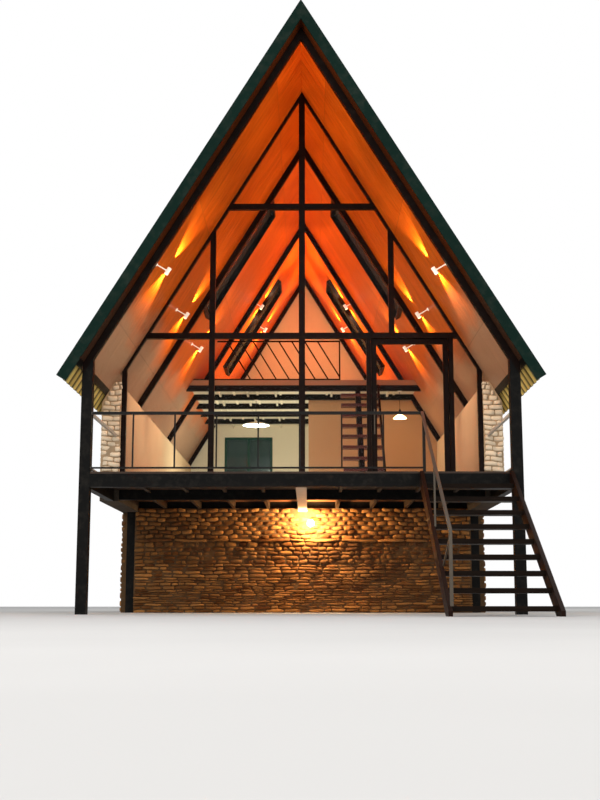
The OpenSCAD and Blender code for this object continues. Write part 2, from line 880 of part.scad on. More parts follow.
module loft_floor() {
    color([0.85, 0.76, 0.60]) place() difference() {
        union() {
            loft_section(loft_front, rear_in, loft_under, loft_z);
            for (x = [-3 : 3])
                block([x * joist_gap - 20, loft_front, loft_under - loft_joist_d],
                      [x * joist_gap + 20, rear_in, loft_under + eps]);
        }
        rafter_space();
        for (i = [0 : 4]) {
            y = i == 1 ? frame_y[2] : loft_beam_y[i];
            block([-half, y - rafter_w / 2 - (i == 0 ? eps : 0), loft_under - loft_beam_d],
                  [half, y + rafter_w / 2, loft_under]);
        }
        block([partition_x, partition_y - eps, floor_h], [half, partition_y + partition_t, loft_under]);
    }
}

loft_rail_t = 30;

module loft_railing() {
    y0 = loft_front + 20;
    y1 = y0 + loft_rail_t;
    end = inner_x;
    top = loft_z + rail_h;
    first = floor((roof_x(top) - 60) / loft_bar_gap);
    color([0.13, 0.08, 0.05]) place() difference() {
        union() {
            block([-roof_x(top - loft_rail_t), y0, top - loft_rail_t], [end, y1, top]);
            block([end - loft_rail_t, y0, loft_z], [end, y1, top]);
            block([-roof_x(loft_z), y0, loft_z], [end, y1, loft_z + loft_rail_t]);
            for (x = [-first * loft_bar_gap : loft_bar_gap : end - loft_bar_gap])
                intersection() {
                    plate(y0, y1, [
                        [x, top], [x + loft_rail_t, top],
                        [x + loft_rail_t + rail_h / slope_t, loft_z], [x + rail_h / slope_t, loft_z]
                    ]);
                    block([-half, y0, loft_z], [end, y1, top]);
                }
        }
        mirror([1, 0, 0]) plate(y0 - eps, y1 + eps, [
            [roof_x(loft_z - eps, -seat), loft_z - eps], [half + 2 * rail_h, loft_z - eps],
            [half + 2 * rail_h, top + eps], [roof_x(top + eps, -seat), top + eps]
        ]);
    }
}

// Inner stair

inner_riser = (loft_h - loft_step) / inner_risers;
inner_top = loft_z - loft_step;
inner_string_t = 40;
inner_spine_w = 105;

// Distance along the house at which the line over the inner tread edges has the height z
function inner_run(z) = loft_front - inner_going * (inner_top - z) / inner_riser;

// A slim board beside the inner treads, which rises to the loft beam
module inner_string(x0, over, depth) {
    side_plate(x0, x0 + inner_string_t, [
        [loft_front, loft_under], [inner_run(loft_under - over), loft_under],
        [inner_run(floor_h - over), floor_h], [inner_run(floor_h + depth - over), floor_h],
        [loft_front, inner_top + over - depth]
    ]);
}

// A stepped beam under the middle of the inner treads, hung from the loft beam behind the top tread
module inner_spine(x0, width, depth) {
    hung_z = loft_under - loft_beam_d;
    hung_y = loft_front + 60;
    steps = [for (n = [inner_risers - 1 : -1 : 1], k = [0, 1])
        [loft_front - (n - k) * inner_going, inner_top - n * inner_riser - inner_tread_t]];
    side_plate(x0, x0 + width, concat(
        [[steps[0][0], floor_h]], steps,
        [
            [loft_front, hung_z], [hung_y, hung_z], [hung_y, inner_top - inner_riser - depth],
            [steps[0][0] + depth, floor_h]
        ]
    ));
}

module inner_stair_stringers() {
    color([0.12, 0.06, 0.05]) place() {
        inner_spine(inner_x + inner_w / 2 - 20 - inner_spine_w / 2, inner_spine_w, 260);
        inner_string(inner_x + inner_w, 30, 200);
    }
}

module inner_stair_treads() {
    color([0.30, 0.10, 0.06]) place()
        for (n = [1 : inner_risers - 1])
            translate([inner_x, loft_front - n * inner_going, inner_top - n * inner_riser - inner_tread_t])
                cube([inner_w, inner_going, inner_tread_t]);
}

// Lamps

// Feet of the lamps on the right slope: distance down the slope, and distance along the house
lamp_low = half / slope_c - lamp_up;
lamp_high = lamp_low - loft_lamp_up;
lamp_spots = [
    [lamp_low, 0.17 * bay], [lamp_low, 1.37 * bay], [lamp_low, 2.56 * bay],
    [lamp_high, 4.07 * bay], [lamp_high, 5.05 * bay]
];

module wall_lamp() {
    translate([0, 0, -12]) cylinder(r = 32, h = 12, $fn = 24);
    translate([0, 0, -arm_len]) cylinder(r = 9, h = arm_len, $fn = 12);
    translate([-55, 0, -arm_len]) rotate([0, 90, 0]) cylinder(r = head_r, h = 110, $fn = 24);
}

stone_lamp_z = beam_bottom - stone_lamp_drop;

module wall_lamps() {
    color([0.80, 0.78, 0.72]) place() {
        both_sides() on_slope() for (p = lamp_spots) translate([p[0], p[1], -seat]) wall_lamp();
        translate([stone_lamp_x, stone_front_y, stone_lamp_z]) rotate([90, 0, 0])
            cylinder(r1 = 65, r2 = 40, h = 55, $fn = 32);
    }
}

// A shade on a rod, hung from the height z_top
module pendant(r, h, z_top, z_low) {
    translate([0, 0, z_low + h - 2]) cylinder(r = 6, h = z_top - z_low - h + 2, $fn = 12);
    translate([0, 0, z_top - 20]) cylinder(r = 45, h = 20, $fn = 24);
    translate([0, 0, z_low]) rotate_extrude($fn = 48)
        polygon([[0, h], [30, h], [r * 0.55, h * 0.62], [r, h * 0.1], [r, 0], [0, 0]]);
}

pendant_top = loft_under - loft_beam_d;

module pendant_lamps() {
    color([0.93, 0.90, 0.82]) place() {
        translate([-0.172 * span, frame_y[2], 0]) pendant(shade_r, shade_r * 0.38, pendant_top, pendant_top - pendant_drop);
        translate([span / 3, loft_front + rafter_w / 2, 0])
            pendant(small_shade_r, small_shade_r * 0.64, pendant_top, pendant_top - small_pendant_drop);
    }
}

posts();
cross_beams();
side_beams();
centre_beams();
floor_joists();
deck_floor();
house_floor();
ring_beams();
stone_front_wall();
stone_side_walls();
stone_rear_wall();
left_rafters();
right_rafters();
left_lining();
right_lining();
left_roof();
right_roof();
ridge_cap();
left_barge_boards();
right_barge_boards();
eave_beams();
roof_battens();
skylight_frames();
skylight_glass();
left_brick_wall();
right_brick_wall();
rear_wall();
rear_window_frame();
rear_window_glass();
partition_wall();
glazed_gable_posts();
glazed_gable_rails();
glazed_gable_panes();
door_leaf();
door_glass();
door_handle();
deck_railings();
stair_stringers();
stair_treads();
stair_handrail();
loft_beams();
loft_floor();
loft_railing();
inner_stair_stringers();
inner_stair_treads();
wall_lamps();
pendant_lamps();
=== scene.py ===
"""A-frame cabin: the looks of its steel, timber, brick, stone, roof sheets, glass and lamps,
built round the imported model. Sizes are in metres, and the profiles of turned pieces in millimetres."""

import math

import bmesh
import bpy
import numpy as np
from bpy.props import FloatProperty, FloatVectorProperty, PointerProperty
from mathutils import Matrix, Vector


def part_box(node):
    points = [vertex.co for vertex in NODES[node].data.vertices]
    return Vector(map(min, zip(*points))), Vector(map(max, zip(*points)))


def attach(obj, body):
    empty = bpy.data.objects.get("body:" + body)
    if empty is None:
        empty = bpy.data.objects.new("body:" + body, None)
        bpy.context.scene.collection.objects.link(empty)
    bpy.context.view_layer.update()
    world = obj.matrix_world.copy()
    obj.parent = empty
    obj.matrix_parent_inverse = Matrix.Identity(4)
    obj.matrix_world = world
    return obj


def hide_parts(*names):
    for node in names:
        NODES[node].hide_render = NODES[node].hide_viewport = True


bl_info = {
    "name": "A-frame Cabin",
    "version": (1, 0, 0),
    "blender": (4, 5, 0),
    "location": "3D View > Sidebar > Cabin",
    "description": "Dresses the packed cabin with sheets, bricks, stones, boards, lamps and a stage",
    "category": "Object",
}

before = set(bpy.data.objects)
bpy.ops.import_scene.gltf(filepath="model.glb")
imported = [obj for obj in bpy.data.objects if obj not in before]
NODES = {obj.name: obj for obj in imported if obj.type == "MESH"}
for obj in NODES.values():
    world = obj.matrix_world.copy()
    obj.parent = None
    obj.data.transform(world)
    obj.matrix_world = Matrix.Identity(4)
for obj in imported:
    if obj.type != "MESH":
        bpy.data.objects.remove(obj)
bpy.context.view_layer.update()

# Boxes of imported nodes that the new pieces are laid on
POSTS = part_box("posts")
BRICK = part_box("right_brick_wall")
STONE_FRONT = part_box("stone_front_wall")

POST_W = 0.150
FRONT_Y = POSTS[0].y + POST_W / 2  # middle of the front posts, from which depths are measured
SHEET_OFF = 0.0505                 # from the underside of the lining to the underside of the roof sheets
SHEET_T = 0.003
HAIR = 0.003                       # keeps a change of tone off the plane of a face
SPEC = "Specular IOR Level"
NO_TRIS = np.empty((0, 3), int)


def colour(name, text, default):
    """A colour that a user can change."""
    return FloatVectorProperty(name=name, description=text, subtype="COLOR", size=3, min=0, max=1,
                               default=default)


def length(name, text, default, low, high):
    """A length in metres that a user can change."""
    return FloatProperty(name=name, description=text, default=default, min=low, max=high, unit="LENGTH")


class CabinSizes(bpy.types.PropertyGroup):
    """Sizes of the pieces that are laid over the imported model."""
    pitch: FloatProperty(name="Roof pitch", description="Slope of the roof", default=math.radians(58.75),
                         min=0.9, max=1.1, subtype="ANGLE")
    apex: length("Lining apex", "Height of the underside of the lining at the ridge", 8.55, 8.0, 9.0)
    rib_pitch: length("Rib pitch", "Distance from rib to rib of the roof sheets", 0.250, 0.15, 0.4)
    rib_height: length("Rib height", "Height of the ribs of the roof sheets", 0.035, 0.02, 0.05)
    board_width: length("Deck board width", "Width of a deck board with its gap", 0.147, 0.09, 0.2)
    board_gap: length("Deck board gap", "Gap between deck boards", 0.006, 0.002, 0.012)
    brick_length: length("Brick length", "Length of a brick with its joint", 0.235, 0.18, 0.3)
    brick_height: length("Brick height", "Height of a course with its joint", 0.082, 0.06, 0.11)
    brick_joint: length("Brick joint", "Width of the joints between bricks", 0.014, 0.006, 0.02)
    stone_length: length("Stone length", "Usual length of a stone in the base", 0.26, 0.15, 0.5)
    stone_height: length("Stone height", "Usual height of a course of stones", 0.105, 0.06, 0.25)
    stone_joint: length("Stone joint", "Width of the joints between stones", 0.016, 0.008, 0.03)
    lamp_low: length("Lower lamps", "Place of the lower lamps, down the slope", 4.093, 3.8, 4.4)
    lamp_high: length("Upper lamps", "Place of the lamps over the loft, down the slope", 2.113, 1.9, 2.4)
    lamp_arm: length("Lamp arm", "Length of the arm of a wall lamp", 0.200, 0.16, 0.24)


class CabinColours(bpy.types.PropertyGroup):
    """Colours of the finishes."""
    steel: colour("Black steel", "Paint on the posts and beams", (0.0050, 0.0048, 0.0045))
    brown: colour("Brown steel", "Paint on the rafters and the glazing bars", (0.0075, 0.0035, 0.0024))
    green: colour("Roof green", "Coating on the roof sheets and barge boards", (0.0025, 0.0135, 0.0095))
    underside: colour("Sheet underside", "Primer under the roof sheets", (0.86, 0.64, 0.18))
    ply_light: colour("Plywood light", "Light grain of the varnished lining", (0.88, 0.200, 0.012))
    ply_dark: colour("Plywood dark", "Dark grain of the varnished lining", (0.50, 0.070, 0.003))
    brick: colour("Brick paint", "Paint on the brick walls", (0.80, 0.655, 0.475))
    mortar: colour("Mortar", "Joints between bricks", (0.36, 0.255, 0.155))
    stone_light: colour("Stone light", "Palest stones of the base", (0.44, 0.205, 0.062))
    stone_dark: colour("Stone dark", "Darkest stones of the base", (0.075, 0.025, 0.007))
    deck: colour("Deck boards", "Oiled boards of the deck and stair", (0.040, 0.024, 0.016))
    cream: colour("Cream paint", "Loft ceiling and plaster", (0.84, 0.77, 0.58))
    tread: colour("Inner treads", "Stained treads of the inner stair", (0.085, 0.015, 0.008))
    light: colour("Lamp light", "Colour of the lit lamps", (1.0, 0.62, 0.28))
    cool: colour("Pendant light", "Colour of the big pendant lamp", (0.86, 1.0, 0.88))


# Shader helpers

class Net:
    """Adds shader nodes to one tree: a value is either a number or the output that feeds the input."""

    def __init__(self, tree):
        self.tree = tree

    def fill(self, node, values):
        for key, value in values.items():
            if isinstance(value, bpy.types.NodeSocket):
                self.tree.links.new(value, node.inputs[key])
            else:
                node.inputs[key].default_value = value
        return node

    def add(self, kind, values=None, **settings):
        node = self.tree.nodes.new(kind)
        for key, value in settings.items():
            setattr(node, key, value)
        return self.fill(node, values or {})

    def math(self, operation, a, b=0.0, clamp=False):
        return self.add("ShaderNodeMath", {0: a, 1: b}, operation=operation, use_clamp=clamp).outputs[0]

    def plus(self, a, b, clamp=False):
        return self.math("ADD", a, b, clamp)

    def minus(self, a, b):
        return self.math("SUBTRACT", a, b)

    def times(self, a, b, clamp=False):
        return self.math("MULTIPLY", a, b, clamp)

    def over(self, a, b):
        return self.math("DIVIDE", a, b)

    def axes(self, coord):
        return self.add("ShaderNodeSeparateXYZ", {0: coord}).outputs

    def place(self, values):
        return self.add("ShaderNodeCombineXYZ", values).outputs[0]

    def vector(self, operation, a, values):
        return self.add("ShaderNodeVectorMath", {0: a, **values}, operation=operation).outputs[0]

    def mix(self, factor, a, b):
        return self.add("ShaderNodeMix", {0: factor, 6: a, 7: b}, data_type="RGBA").outputs[2]

    def ramp(self, value, low, high, out_low=0.0, out_high=1.0):
        return self.add("ShaderNodeMapRange", {0: value, 1: low, 2: high, 3: out_low, 4: out_high}).outputs[0]

    def noise(self, coord, scale, detail=4.0, rough=0.55, distortion=0.0):
        return self.add("ShaderNodeTexNoise", {"Vector": coord, "Scale": scale, "Detail": detail,
                                               "Roughness": rough, "Distortion": distortion}).outputs[0]

    def stretch(self, coord, scale, turn=(0, 0, 0)):
        return self.add("ShaderNodeMapping", {"Vector": coord, "Scale": scale, "Rotation": turn}).outputs[0]

    def group(self, name, values):
        return self.add("ShaderNodeGroup", values, node_tree=bpy.data.node_groups[name]).outputs


def rgba(c):
    """A colour with full alpha."""
    return (*c[:3], 1.0)


def dim(c, share):
    """A colour made darker or lighter."""
    return tuple(share * v for v in c)


def new_group(name, inputs, outputs="Color:Color Roughness Height"):
    """An empty shader group; its sockets are floats unless a kind follows the colon. Returns its Net, its
    input sockets and its end node."""
    tree = bpy.data.node_groups.new(name, "ShaderNodeTree")
    for way, words in (("INPUT", inputs), ("OUTPUT", outputs)):
        for word in words.split():
            label, _, kind = word.partition(":")
            tree.interface.new_socket(label, in_out=way, socket_type="NodeSocket" + (kind or "Float"))
    net = Net(tree)
    return net, net.add("NodeGroupInput").outputs, net.add("NodeGroupOutput")


def make_painted_group():
    """Paint on metal or plaster: broad patches, small specks and a slight orange-peel height."""
    net, given, end = new_group("Aged paint", "Coord:Vector Base:Color Scale Patches Dust Gloss")
    broad = net.noise(given["Coord"], net.times(given["Scale"], 1.3), 3.0)
    fine = net.noise(given["Coord"], net.times(given["Scale"], 46.0), 3.0, 0.65)
    spots = net.noise(given["Coord"], net.times(given["Scale"], 9.0), 5.0, 0.7)
    swing = net.times(net.minus(broad, 0.5), given["Patches"])
    shade = net.plus(1.0, net.plus(swing, net.times(net.minus(fine, 0.5), 0.12)))
    scaled = net.vector("SCALE", given["Base"], {"Scale": shade})
    dusty = net.times(net.ramp(spots, 0.48, 0.78), given["Dust"], clamp=True)
    tinted = net.mix(dusty, scaled, (0.42, 0.36, 0.29, 1))
    rough = net.plus(given["Gloss"], net.times(net.minus(spots, 0.45), 0.35), clamp=True)
    height = net.plus(net.times(fine, 0.3), net.times(broad, 0.7))
    net.fill(end, {"Color": tinted, "Roughness": rough, "Height": height})


def make_grain_group():
    """Wood grain along the coordinate's X: long streaks, rings bent by noise and small pores."""
    net, given, end = new_group("Wood grain", "Coord:Vector Light:Color Dark:Color Streaks Blotches Gloss")
    long = net.stretch(given["Coord"], (0.55, 8.0, 8.0))
    streak = net.noise(long, given["Streaks"], 6.0, 0.62, 0.6)
    pores = net.noise(net.stretch(given["Coord"], (6.0, 150.0, 150.0)), 3.0, 2.0, 0.6)
    cloud = net.noise(net.stretch(given["Coord"], (0.35, 1.0, 1.0)), 1.6, 3.0, 0.5)
    amount = net.ramp(streak, 0.34, 0.68)
    amount = net.plus(amount, net.times(net.minus(cloud, 0.5), given["Blotches"]), clamp=True)
    tone = net.mix(amount, given["Dark"], given["Light"])
    dark = net.ramp(pores, 0.58, 0.78, 0.0, 0.35)
    tone = net.mix(dark, tone, given["Dark"])
    rough = net.plus(given["Gloss"], net.times(net.minus(pores, 0.5), 0.25), clamp=True)
    net.fill(end, {"Color": tone, "Roughness": rough, "Height": net.minus(streak, net.times(dark, 0.6))})


def make_joint_group():
    """Fine joints between rectangular sheets or boards, as a mask from 0 to 1 in the coordinate's X and Y."""
    net, given, end = new_group("Sheet joints", "Coord:Vector Length Width Gap Offset", "Mask Shade")
    axes = net.axes(given["Coord"])
    row = net.math("FLOOR", net.over(axes[1], given["Width"]))
    shift = net.times(row, given["Offset"])
    along = net.plus(net.over(axes[0], given["Length"]), shift)
    parts = []
    for place, size in ((along, given["Length"]), (net.over(axes[1], given["Width"]), given["Width"])):
        off = net.times(net.math("PINGPONG", place, 0.5), size)
        parts.append(net.math("LESS_THAN", off, net.times(given["Gap"], 0.5)))
    cell = net.place({0: net.math("FLOOR", along), 1: row})
    shade = net.add("ShaderNodeTexWhiteNoise", {"Vector": cell}, noise_dimensions="2D").outputs[0]
    net.fill(end, {"Mask": net.math("MAXIMUM", *parts), "Shade": shade})


def make_masonry_group():
    """Stone or brick faces: each block takes its own tint, with pits, grit and stains."""
    net, given, end = new_group("Masonry face", "Coord:Vector Tint Light:Color Dark:Color Grit Stain")
    grit = net.noise(given["Coord"], given["Grit"], 5.0, 0.65)
    lumps = net.noise(given["Coord"], 7.0, 4.0, 0.6)
    broad = net.noise(given["Coord"], 0.9, 3.0, 0.5)
    mixer = net.plus(net.times(given["Tint"], 0.75), net.times(net.minus(lumps, 0.4), 0.7), clamp=True)
    tone = net.mix(mixer, given["Dark"], given["Light"])
    tone = net.mix(net.ramp(grit, 0.52, 0.74, 0.0, 0.30), tone, given["Dark"])
    tone = net.mix(net.times(net.ramp(broad, 0.45, 0.72), given["Stain"]), tone, (0.10, 0.065, 0.04, 1))
    height = net.plus(net.times(grit, 0.4), net.times(lumps, 0.6))
    net.fill(end, {"Color": tone, "Roughness": net.ramp(grit, 0.3, 0.7, 0.78, 0.95), "Height": height})


class Surface(Net):
    """A new material with its Principled shader and the object coordinate."""

    def __init__(self, name):
        self.material = bpy.data.materials.new(name)
        self.material.use_nodes = True
        super().__init__(self.material.node_tree)
        self.shader = self.tree.nodes["Principled BSDF"]
        self.coord = self.add("ShaderNodeTexCoord").outputs["Object"]

    def finish(self, values):
        """Fills sockets of the shader and returns the material."""
        self.fill(self.shader, values)
        return self.material

    def feed(self, color, rough, height, bump=0.25, distance=0.002, **fixed):
        """Joins colour, roughness and height to the shader, with the values that are the same all over."""
        relief = self.add("ShaderNodeBump", {"Height": height, "Strength": bump, "Distance": distance})
        return self.finish({"Base Color": color, "Roughness": rough, "Normal": relief.outputs[0], **fixed})


def paint(name, base, scale=1.0, patches=0.3, dust=0.1, gloss=0.4, bump=0.25, metallic=0.0, spec=0.3,
          distance=0.002):
    """Painted steel, sheet or plaster. The base is a colour, or a function that draws it."""
    net = Surface(name)
    tone = base(net) if callable(base) else rgba(base)
    out = net.group("Aged paint", {"Coord": net.coord, "Base": tone, "Scale": scale, "Patches": patches,
                                   "Dust": dust, "Gloss": gloss})
    return net.feed(*out, bump, distance, Metallic=metallic, **{SPEC: spec})


def beyond(edge, near, far):
    """A tone that turns from near to far where the distance to the middle of the house passes the edge."""
    def tone(net):
        side = net.math("ABSOLUTE", net.axes(net.coord)[0])
        return net.mix(net.math("GREATER_THAN", side, edge), rgba(near), rgba(far))
    return tone


def grain(net, coord, light, dark, streaks, blotches, gloss):
    """Places the wood grain group; returns its colour, roughness and height."""
    return net.group("Wood grain", {"Coord": coord, "Light": rgba(light), "Dark": rgba(dark),
                                    "Streaks": streaks, "Blotches": blotches, "Gloss": gloss})


def timber(name, light, dark, along, streaks=9.0, blotches=0.4, gloss=0.4, coat=0.0, spec=0.3):
    """Boards with the grain along X or Y of the object."""
    net = Surface(name)
    coord = net.stretch(net.coord, (1, 1, 1), (0, 0, math.pi / 2)) if along == "y" else net.coord
    wood = grain(net, coord, light, dark, streaks, blotches, gloss)
    return net.feed(*wood, **{"Coat Weight": coat, SPEC: spec})


def masonry(name, light, dark, grit, stain, bump, distance, spec=0.3):
    """Blocks that carry a tint attribute."""
    net = Surface(name)
    tint = net.add("ShaderNodeAttribute", attribute_name="tint").outputs["Fac"]
    out = net.group("Masonry face", {"Coord": net.coord, "Tint": tint, "Light": rgba(light),
                                     "Dark": rgba(dark), "Grit": grit, "Stain": stain})
    return net.feed(*out, bump, distance, **{SPEC: spec})


def clear_glass(name, tint, clear, edge, rough=0.03, spec=0.8):
    """Window glass: almost clear where it is seen squarely, and a mirror at a slant."""
    net = Surface(name)
    facing = net.add("ShaderNodeLayerWeight", {"Blend": 0.18}).outputs["Fresnel"]
    streaks = net.noise(net.stretch(net.coord, (1.2, 1.2, 0.4)), 1.5, 3.0)
    haze = net.times(net.ramp(streaks, 0.4, 0.8), 0.025)
    alpha = net.plus(net.ramp(facing, 0.0, 1.0, clear, edge), haze, clamp=True)
    return net.finish({"Alpha": alpha, "Base Color": rgba(tint), "Roughness": rough, SPEC: spec})


def glow(name, tint, strength):
    """The lit face of a lamp, a little brighter in its middle patches."""
    net = Surface(name)
    shimmer = net.ramp(net.noise(net.coord, 14.0, 2.0), 0.3, 0.7, 0.9, 1.0)
    warm = net.mix(shimmer, (tint[0], tint[1] * 0.85, tint[2] * 0.7, 1), rgba(tint))
    return net.finish({"Base Color": (0.9, 0.85, 0.75, 1), "Emission Color": warm,
                       "Emission Strength": strength})


def boarded(net, coord, board, jump, shades, *looks):
    """Wood grain that starts anew on each board or sheet and has its own shade there; returns its colour,
    roughness and height, and the mask of the joints."""
    run, width, gap, offset = board
    joints = net.group("Sheet joints", {"Coord": coord, "Length": run, "Width": width, "Gap": gap,
                                        "Offset": offset})
    shift = net.place({0: net.times(joints["Shade"], jump), 2: joints["Shade"]})
    color, rough, height = grain(net, net.vector("ADD", coord, {1: shift}), *looks)
    shade = net.ramp(joints["Shade"], 0.0, 1.0, *shades)
    return net.vector("SCALE", color, {"Scale": shade}), rough, height, joints["Mask"]


def plywood(name, light, dark):
    """Varnished plywood on the roof slopes: grain runs down the slope, with a fine joint round each sheet.
    The sheets low on the slope carry a pale painted sheen, and the strip outside the front frame is dark."""
    net = Surface(name)
    sizes = sizes_of()
    rise = sizes.apex * math.sin(sizes.pitch)
    axes = net.axes(net.coord)
    down = net.minus(net.times(net.math("ABSOLUTE", axes[0]), math.cos(sizes.pitch)),
                     net.times(axes[2], math.sin(sizes.pitch)))
    flat = net.place({0: down, 1: axes[1], 2: net.times(net.math("SIGN", axes[0]), 3.0)})
    sheet = (2.2, 1.1, 0.006, 0.0)  # length, width, joint, and the share that each row is shifted by
    tone, rough, height, joint = boarded(net, flat, sheet, 7.0, (0.82, 1.08), light, dark, 3.2, 0.7, 0.30)
    wave = net.times(net.minus(net.noise(flat, 0.8, 3.0), 0.5), 1.6)
    start, full = 4.45, 5.15  # where the painted sheen starts and where it is full, down the slope from the ridge
    # Painted sheen: the low sheets turn to pale grey-brown tones, for light reflected in the varnish
    low = net.ramp(net.plus(down, wave), start - rise, full - rise, 0.0, 0.85)
    tone = net.mix(low, tone, net.mix(height, (0.25, 0.150, 0.085, 1), (0.42, 0.30, 0.200, 1)))
    verge = net.times(net.math("LESS_THAN", axes[1], FRONT_Y - 0.04), 0.92)
    tone = net.mix(verge, tone, (0.022, 0.007, 0.003, 1))
    tone = net.mix(net.times(joint, 0.75), tone, (0.05, 0.014, 0.004, 1))
    depth = net.minus(net.times(height, 0.4), joint)
    return net.feed(tone, rough, depth, **{SPEC: 0.12, "Coat Weight": 0.06, "Coat Roughness": 0.28})


def planks(name, light, dark, width, run, edge=None, edge_tone=None):
    """Laid floor boards drawn on a flat node: each board has its own shade and a dark joint."""
    net = Surface(name)
    board = (run, width, 0.004, 0.37)
    tone, rough, height, joint = boarded(net, net.coord, board, 5.0, (0.7, 1.15), light, dark, 6.0, 0.5, 0.35)
    tone = net.mix(net.times(joint, 0.85), tone, (0.01, 0.006, 0.003, 1))
    if edge is not None:
        tone = net.mix(net.math("LESS_THAN", net.axes(net.coord)[1], edge), tone, rgba(edge_tone))
    return net.feed(tone, rough, net.minus(height, joint), 0.3)


# Mesh helpers

def put(name, data):
    """A new object in the scene."""
    obj = bpy.data.objects.new(name, data)
    bpy.context.scene.collection.objects.link(obj)
    return obj


def piece(name, points, quads, tris, material, tint=None, smooth=False):
    """Puts points and faces into one object at the origin that rides on the house."""
    points = np.asarray(points, np.float32).ravel()
    loops = np.concatenate([quads.ravel(), tris.ravel()])
    starts = np.concatenate([np.arange(0, quads.size, 4), quads.size + np.arange(0, tris.size, 3)])
    mesh = bpy.data.meshes.new(name)
    mesh.vertices.add(len(points) // 3)
    mesh.vertices.foreach_set("co", points)
    mesh.loops.add(len(loops))
    mesh.loops.foreach_set("vertex_index", loops.astype(np.int32))
    mesh.polygons.add(len(starts))
    mesh.polygons.foreach_set("loop_start", starts.astype(np.int32))
    mesh.update(calc_edges=True)
    if tint is not None:
        mesh.attributes.new("tint", "FLOAT", "POINT").data.foreach_set("value", tint.astype(np.float32))
    mesh.polygons.foreach_set("use_smooth", np.full(len(starts), smooth))
    mesh.materials.append(material)
    obj = put(name, mesh)
    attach(obj, "house")
    return obj


def copies(name, points, quads, tris, material, tint=None, smooth=False):
    """One piece from many copies of a form: points are (copy, point, axis), faces are those of one copy,
    and tint has a value for each copy."""
    count, each = points.shape[:2]
    first = (np.arange(count) * each)[:, None, None]
    tint = None if tint is None else np.repeat(tint, each)
    return piece(name, points, quads + first, tris + first, material, tint, smooth)


def table(*columns):
    """An array with these columns; a single number fills its whole column."""
    return np.stack(np.broadcast_arrays(*columns), axis=1)


def outward(points, faces):
    """Turns the faces of a convex form about the origin so that they point outwards."""
    corners = points[faces]
    normal = np.cross(corners[:, 1] - corners[:, 0], corners[:, 2] - corners[:, 0])
    inward = (normal * corners.mean(axis=1)).sum(axis=1) < 0
    faces[inward] = faces[inward][:, ::-1]
    return faces


def grid_quads(rows, columns, closed=False):
    """Quads between the neighbours of a grid of points; closed joins its last column to its first."""
    a = np.arange(rows - 1)[:, None] * columns + np.arange(columns if closed else columns - 1)[None]
    b = a // columns * columns + (a % columns + 1) % columns
    return np.stack([a, b, b + columns, a + columns], axis=-1)


def block_template():
    """A box with chamfered edges: each of its 8 corners has 3 points, one on each face that meets there.
    Point (corner k, face axis a) = sign_k * (half size - chamfer * (1 - [axis is a]))."""
    signs = np.indices((2, 2, 2)).reshape(3, 8).T * 2.0 - 1

    def at(turn, axis, *sign):
        """The number of a point, from its face and its corner's signs, the first of them for axis turn."""
        return int((np.roll(sign, turn) > 0) @ (4, 2, 1)) * 3 + axis

    quads = []
    for a in range(3):
        b = (a + 1) % 3
        for s in (-1, 1):
            quads.append([at(a, a, s, t, u) for t, u in ((-1, -1), (1, -1), (1, 1), (-1, 1))])
            for t in (-1, 1):
                quads.append([at(a, axis, s, t, u) for axis, u in ((a, -1), (a, 1), (b, 1), (b, -1))])
    signs, keep = np.repeat(signs, 3, axis=0), np.tile(np.eye(3), (8, 1))
    shape = signs * (1 - 0.2 * (1 - keep))
    return signs, keep, outward(shape, np.array(quads)), outward(shape, np.arange(24).reshape(8, 3))


def blocks(name, wall, chamfer, material, rough, seed, tilt=0.0):
    """Many chamfered boxes in one piece, from their centres, sizes and axes. A point is
    centre + (sign * (size / 2 - chamfer * (1 - keep)) + shake) @ axes, where shake moves each corner by
    up to rough."""
    centres, sizes, axes = wall
    signs, keep, quads, tris = block_template()
    rng = np.random.default_rng(seed)
    count = len(centres)
    local = signs[None] * (sizes[:, None] / 2 - chamfer * (1 - keep)[None])
    local = local + np.repeat(rng.uniform(-rough, rough, (count, 8, 3)), 3, axis=1)
    if tilt:
        angle = rng.uniform(-tilt, tilt, (count, 1))
        x, y, z = np.moveaxis(local, -1, 0)
        local = np.stack([x - angle * z, y, z + angle * x], axis=-1)
    tint = rng.uniform(0, 1, count)
    return copies(name, centres[:, None] + local @ axes, quads, tris, material, tint)


def pebble_template(steps):
    """The surface grid of a cube with a number of steps along each edge, as unit points and quads."""
    line = np.linspace(-1, 1, steps + 1)
    u, v = np.meshgrid(line, line, indexing="ij")
    ring = grid_quads(steps + 1, steps + 1).reshape(-1, 4)[:, [0, 3, 2, 1]]
    points, quads = [], []
    for axis in range(3):
        for s in (-1, 1):
            grid = np.zeros((steps + 1, steps + 1, 3))
            grid[..., axis], grid[..., (axis + 1) % 3], grid[..., (axis + 2) % 3] = s, u, v
            quads.append(ring + len(points) * (steps + 1) ** 2)
            points.append(grid.reshape(-1, 3))
    points, quads = np.concatenate(points), np.concatenate(quads)
    key = np.round(points * steps).astype(int)
    _, first, back = np.unique(key, axis=0, return_index=True, return_inverse=True)
    return points[first], outward(points[first], back.reshape(-1)[quads])


def wander(points, scale, amount, seed):
    """Smooth offset of each point: a sum of sines of its place, with waves chosen by the seed."""
    rng = np.random.default_rng(seed)
    total = np.zeros_like(points)
    for k in range(5):
        wave = rng.normal(0, scale * (1 + 0.7 * k), (3, 3))
        total += np.sin(points @ wave + rng.uniform(0, 6.3, 3)) / (1 + k)
    return total * amount


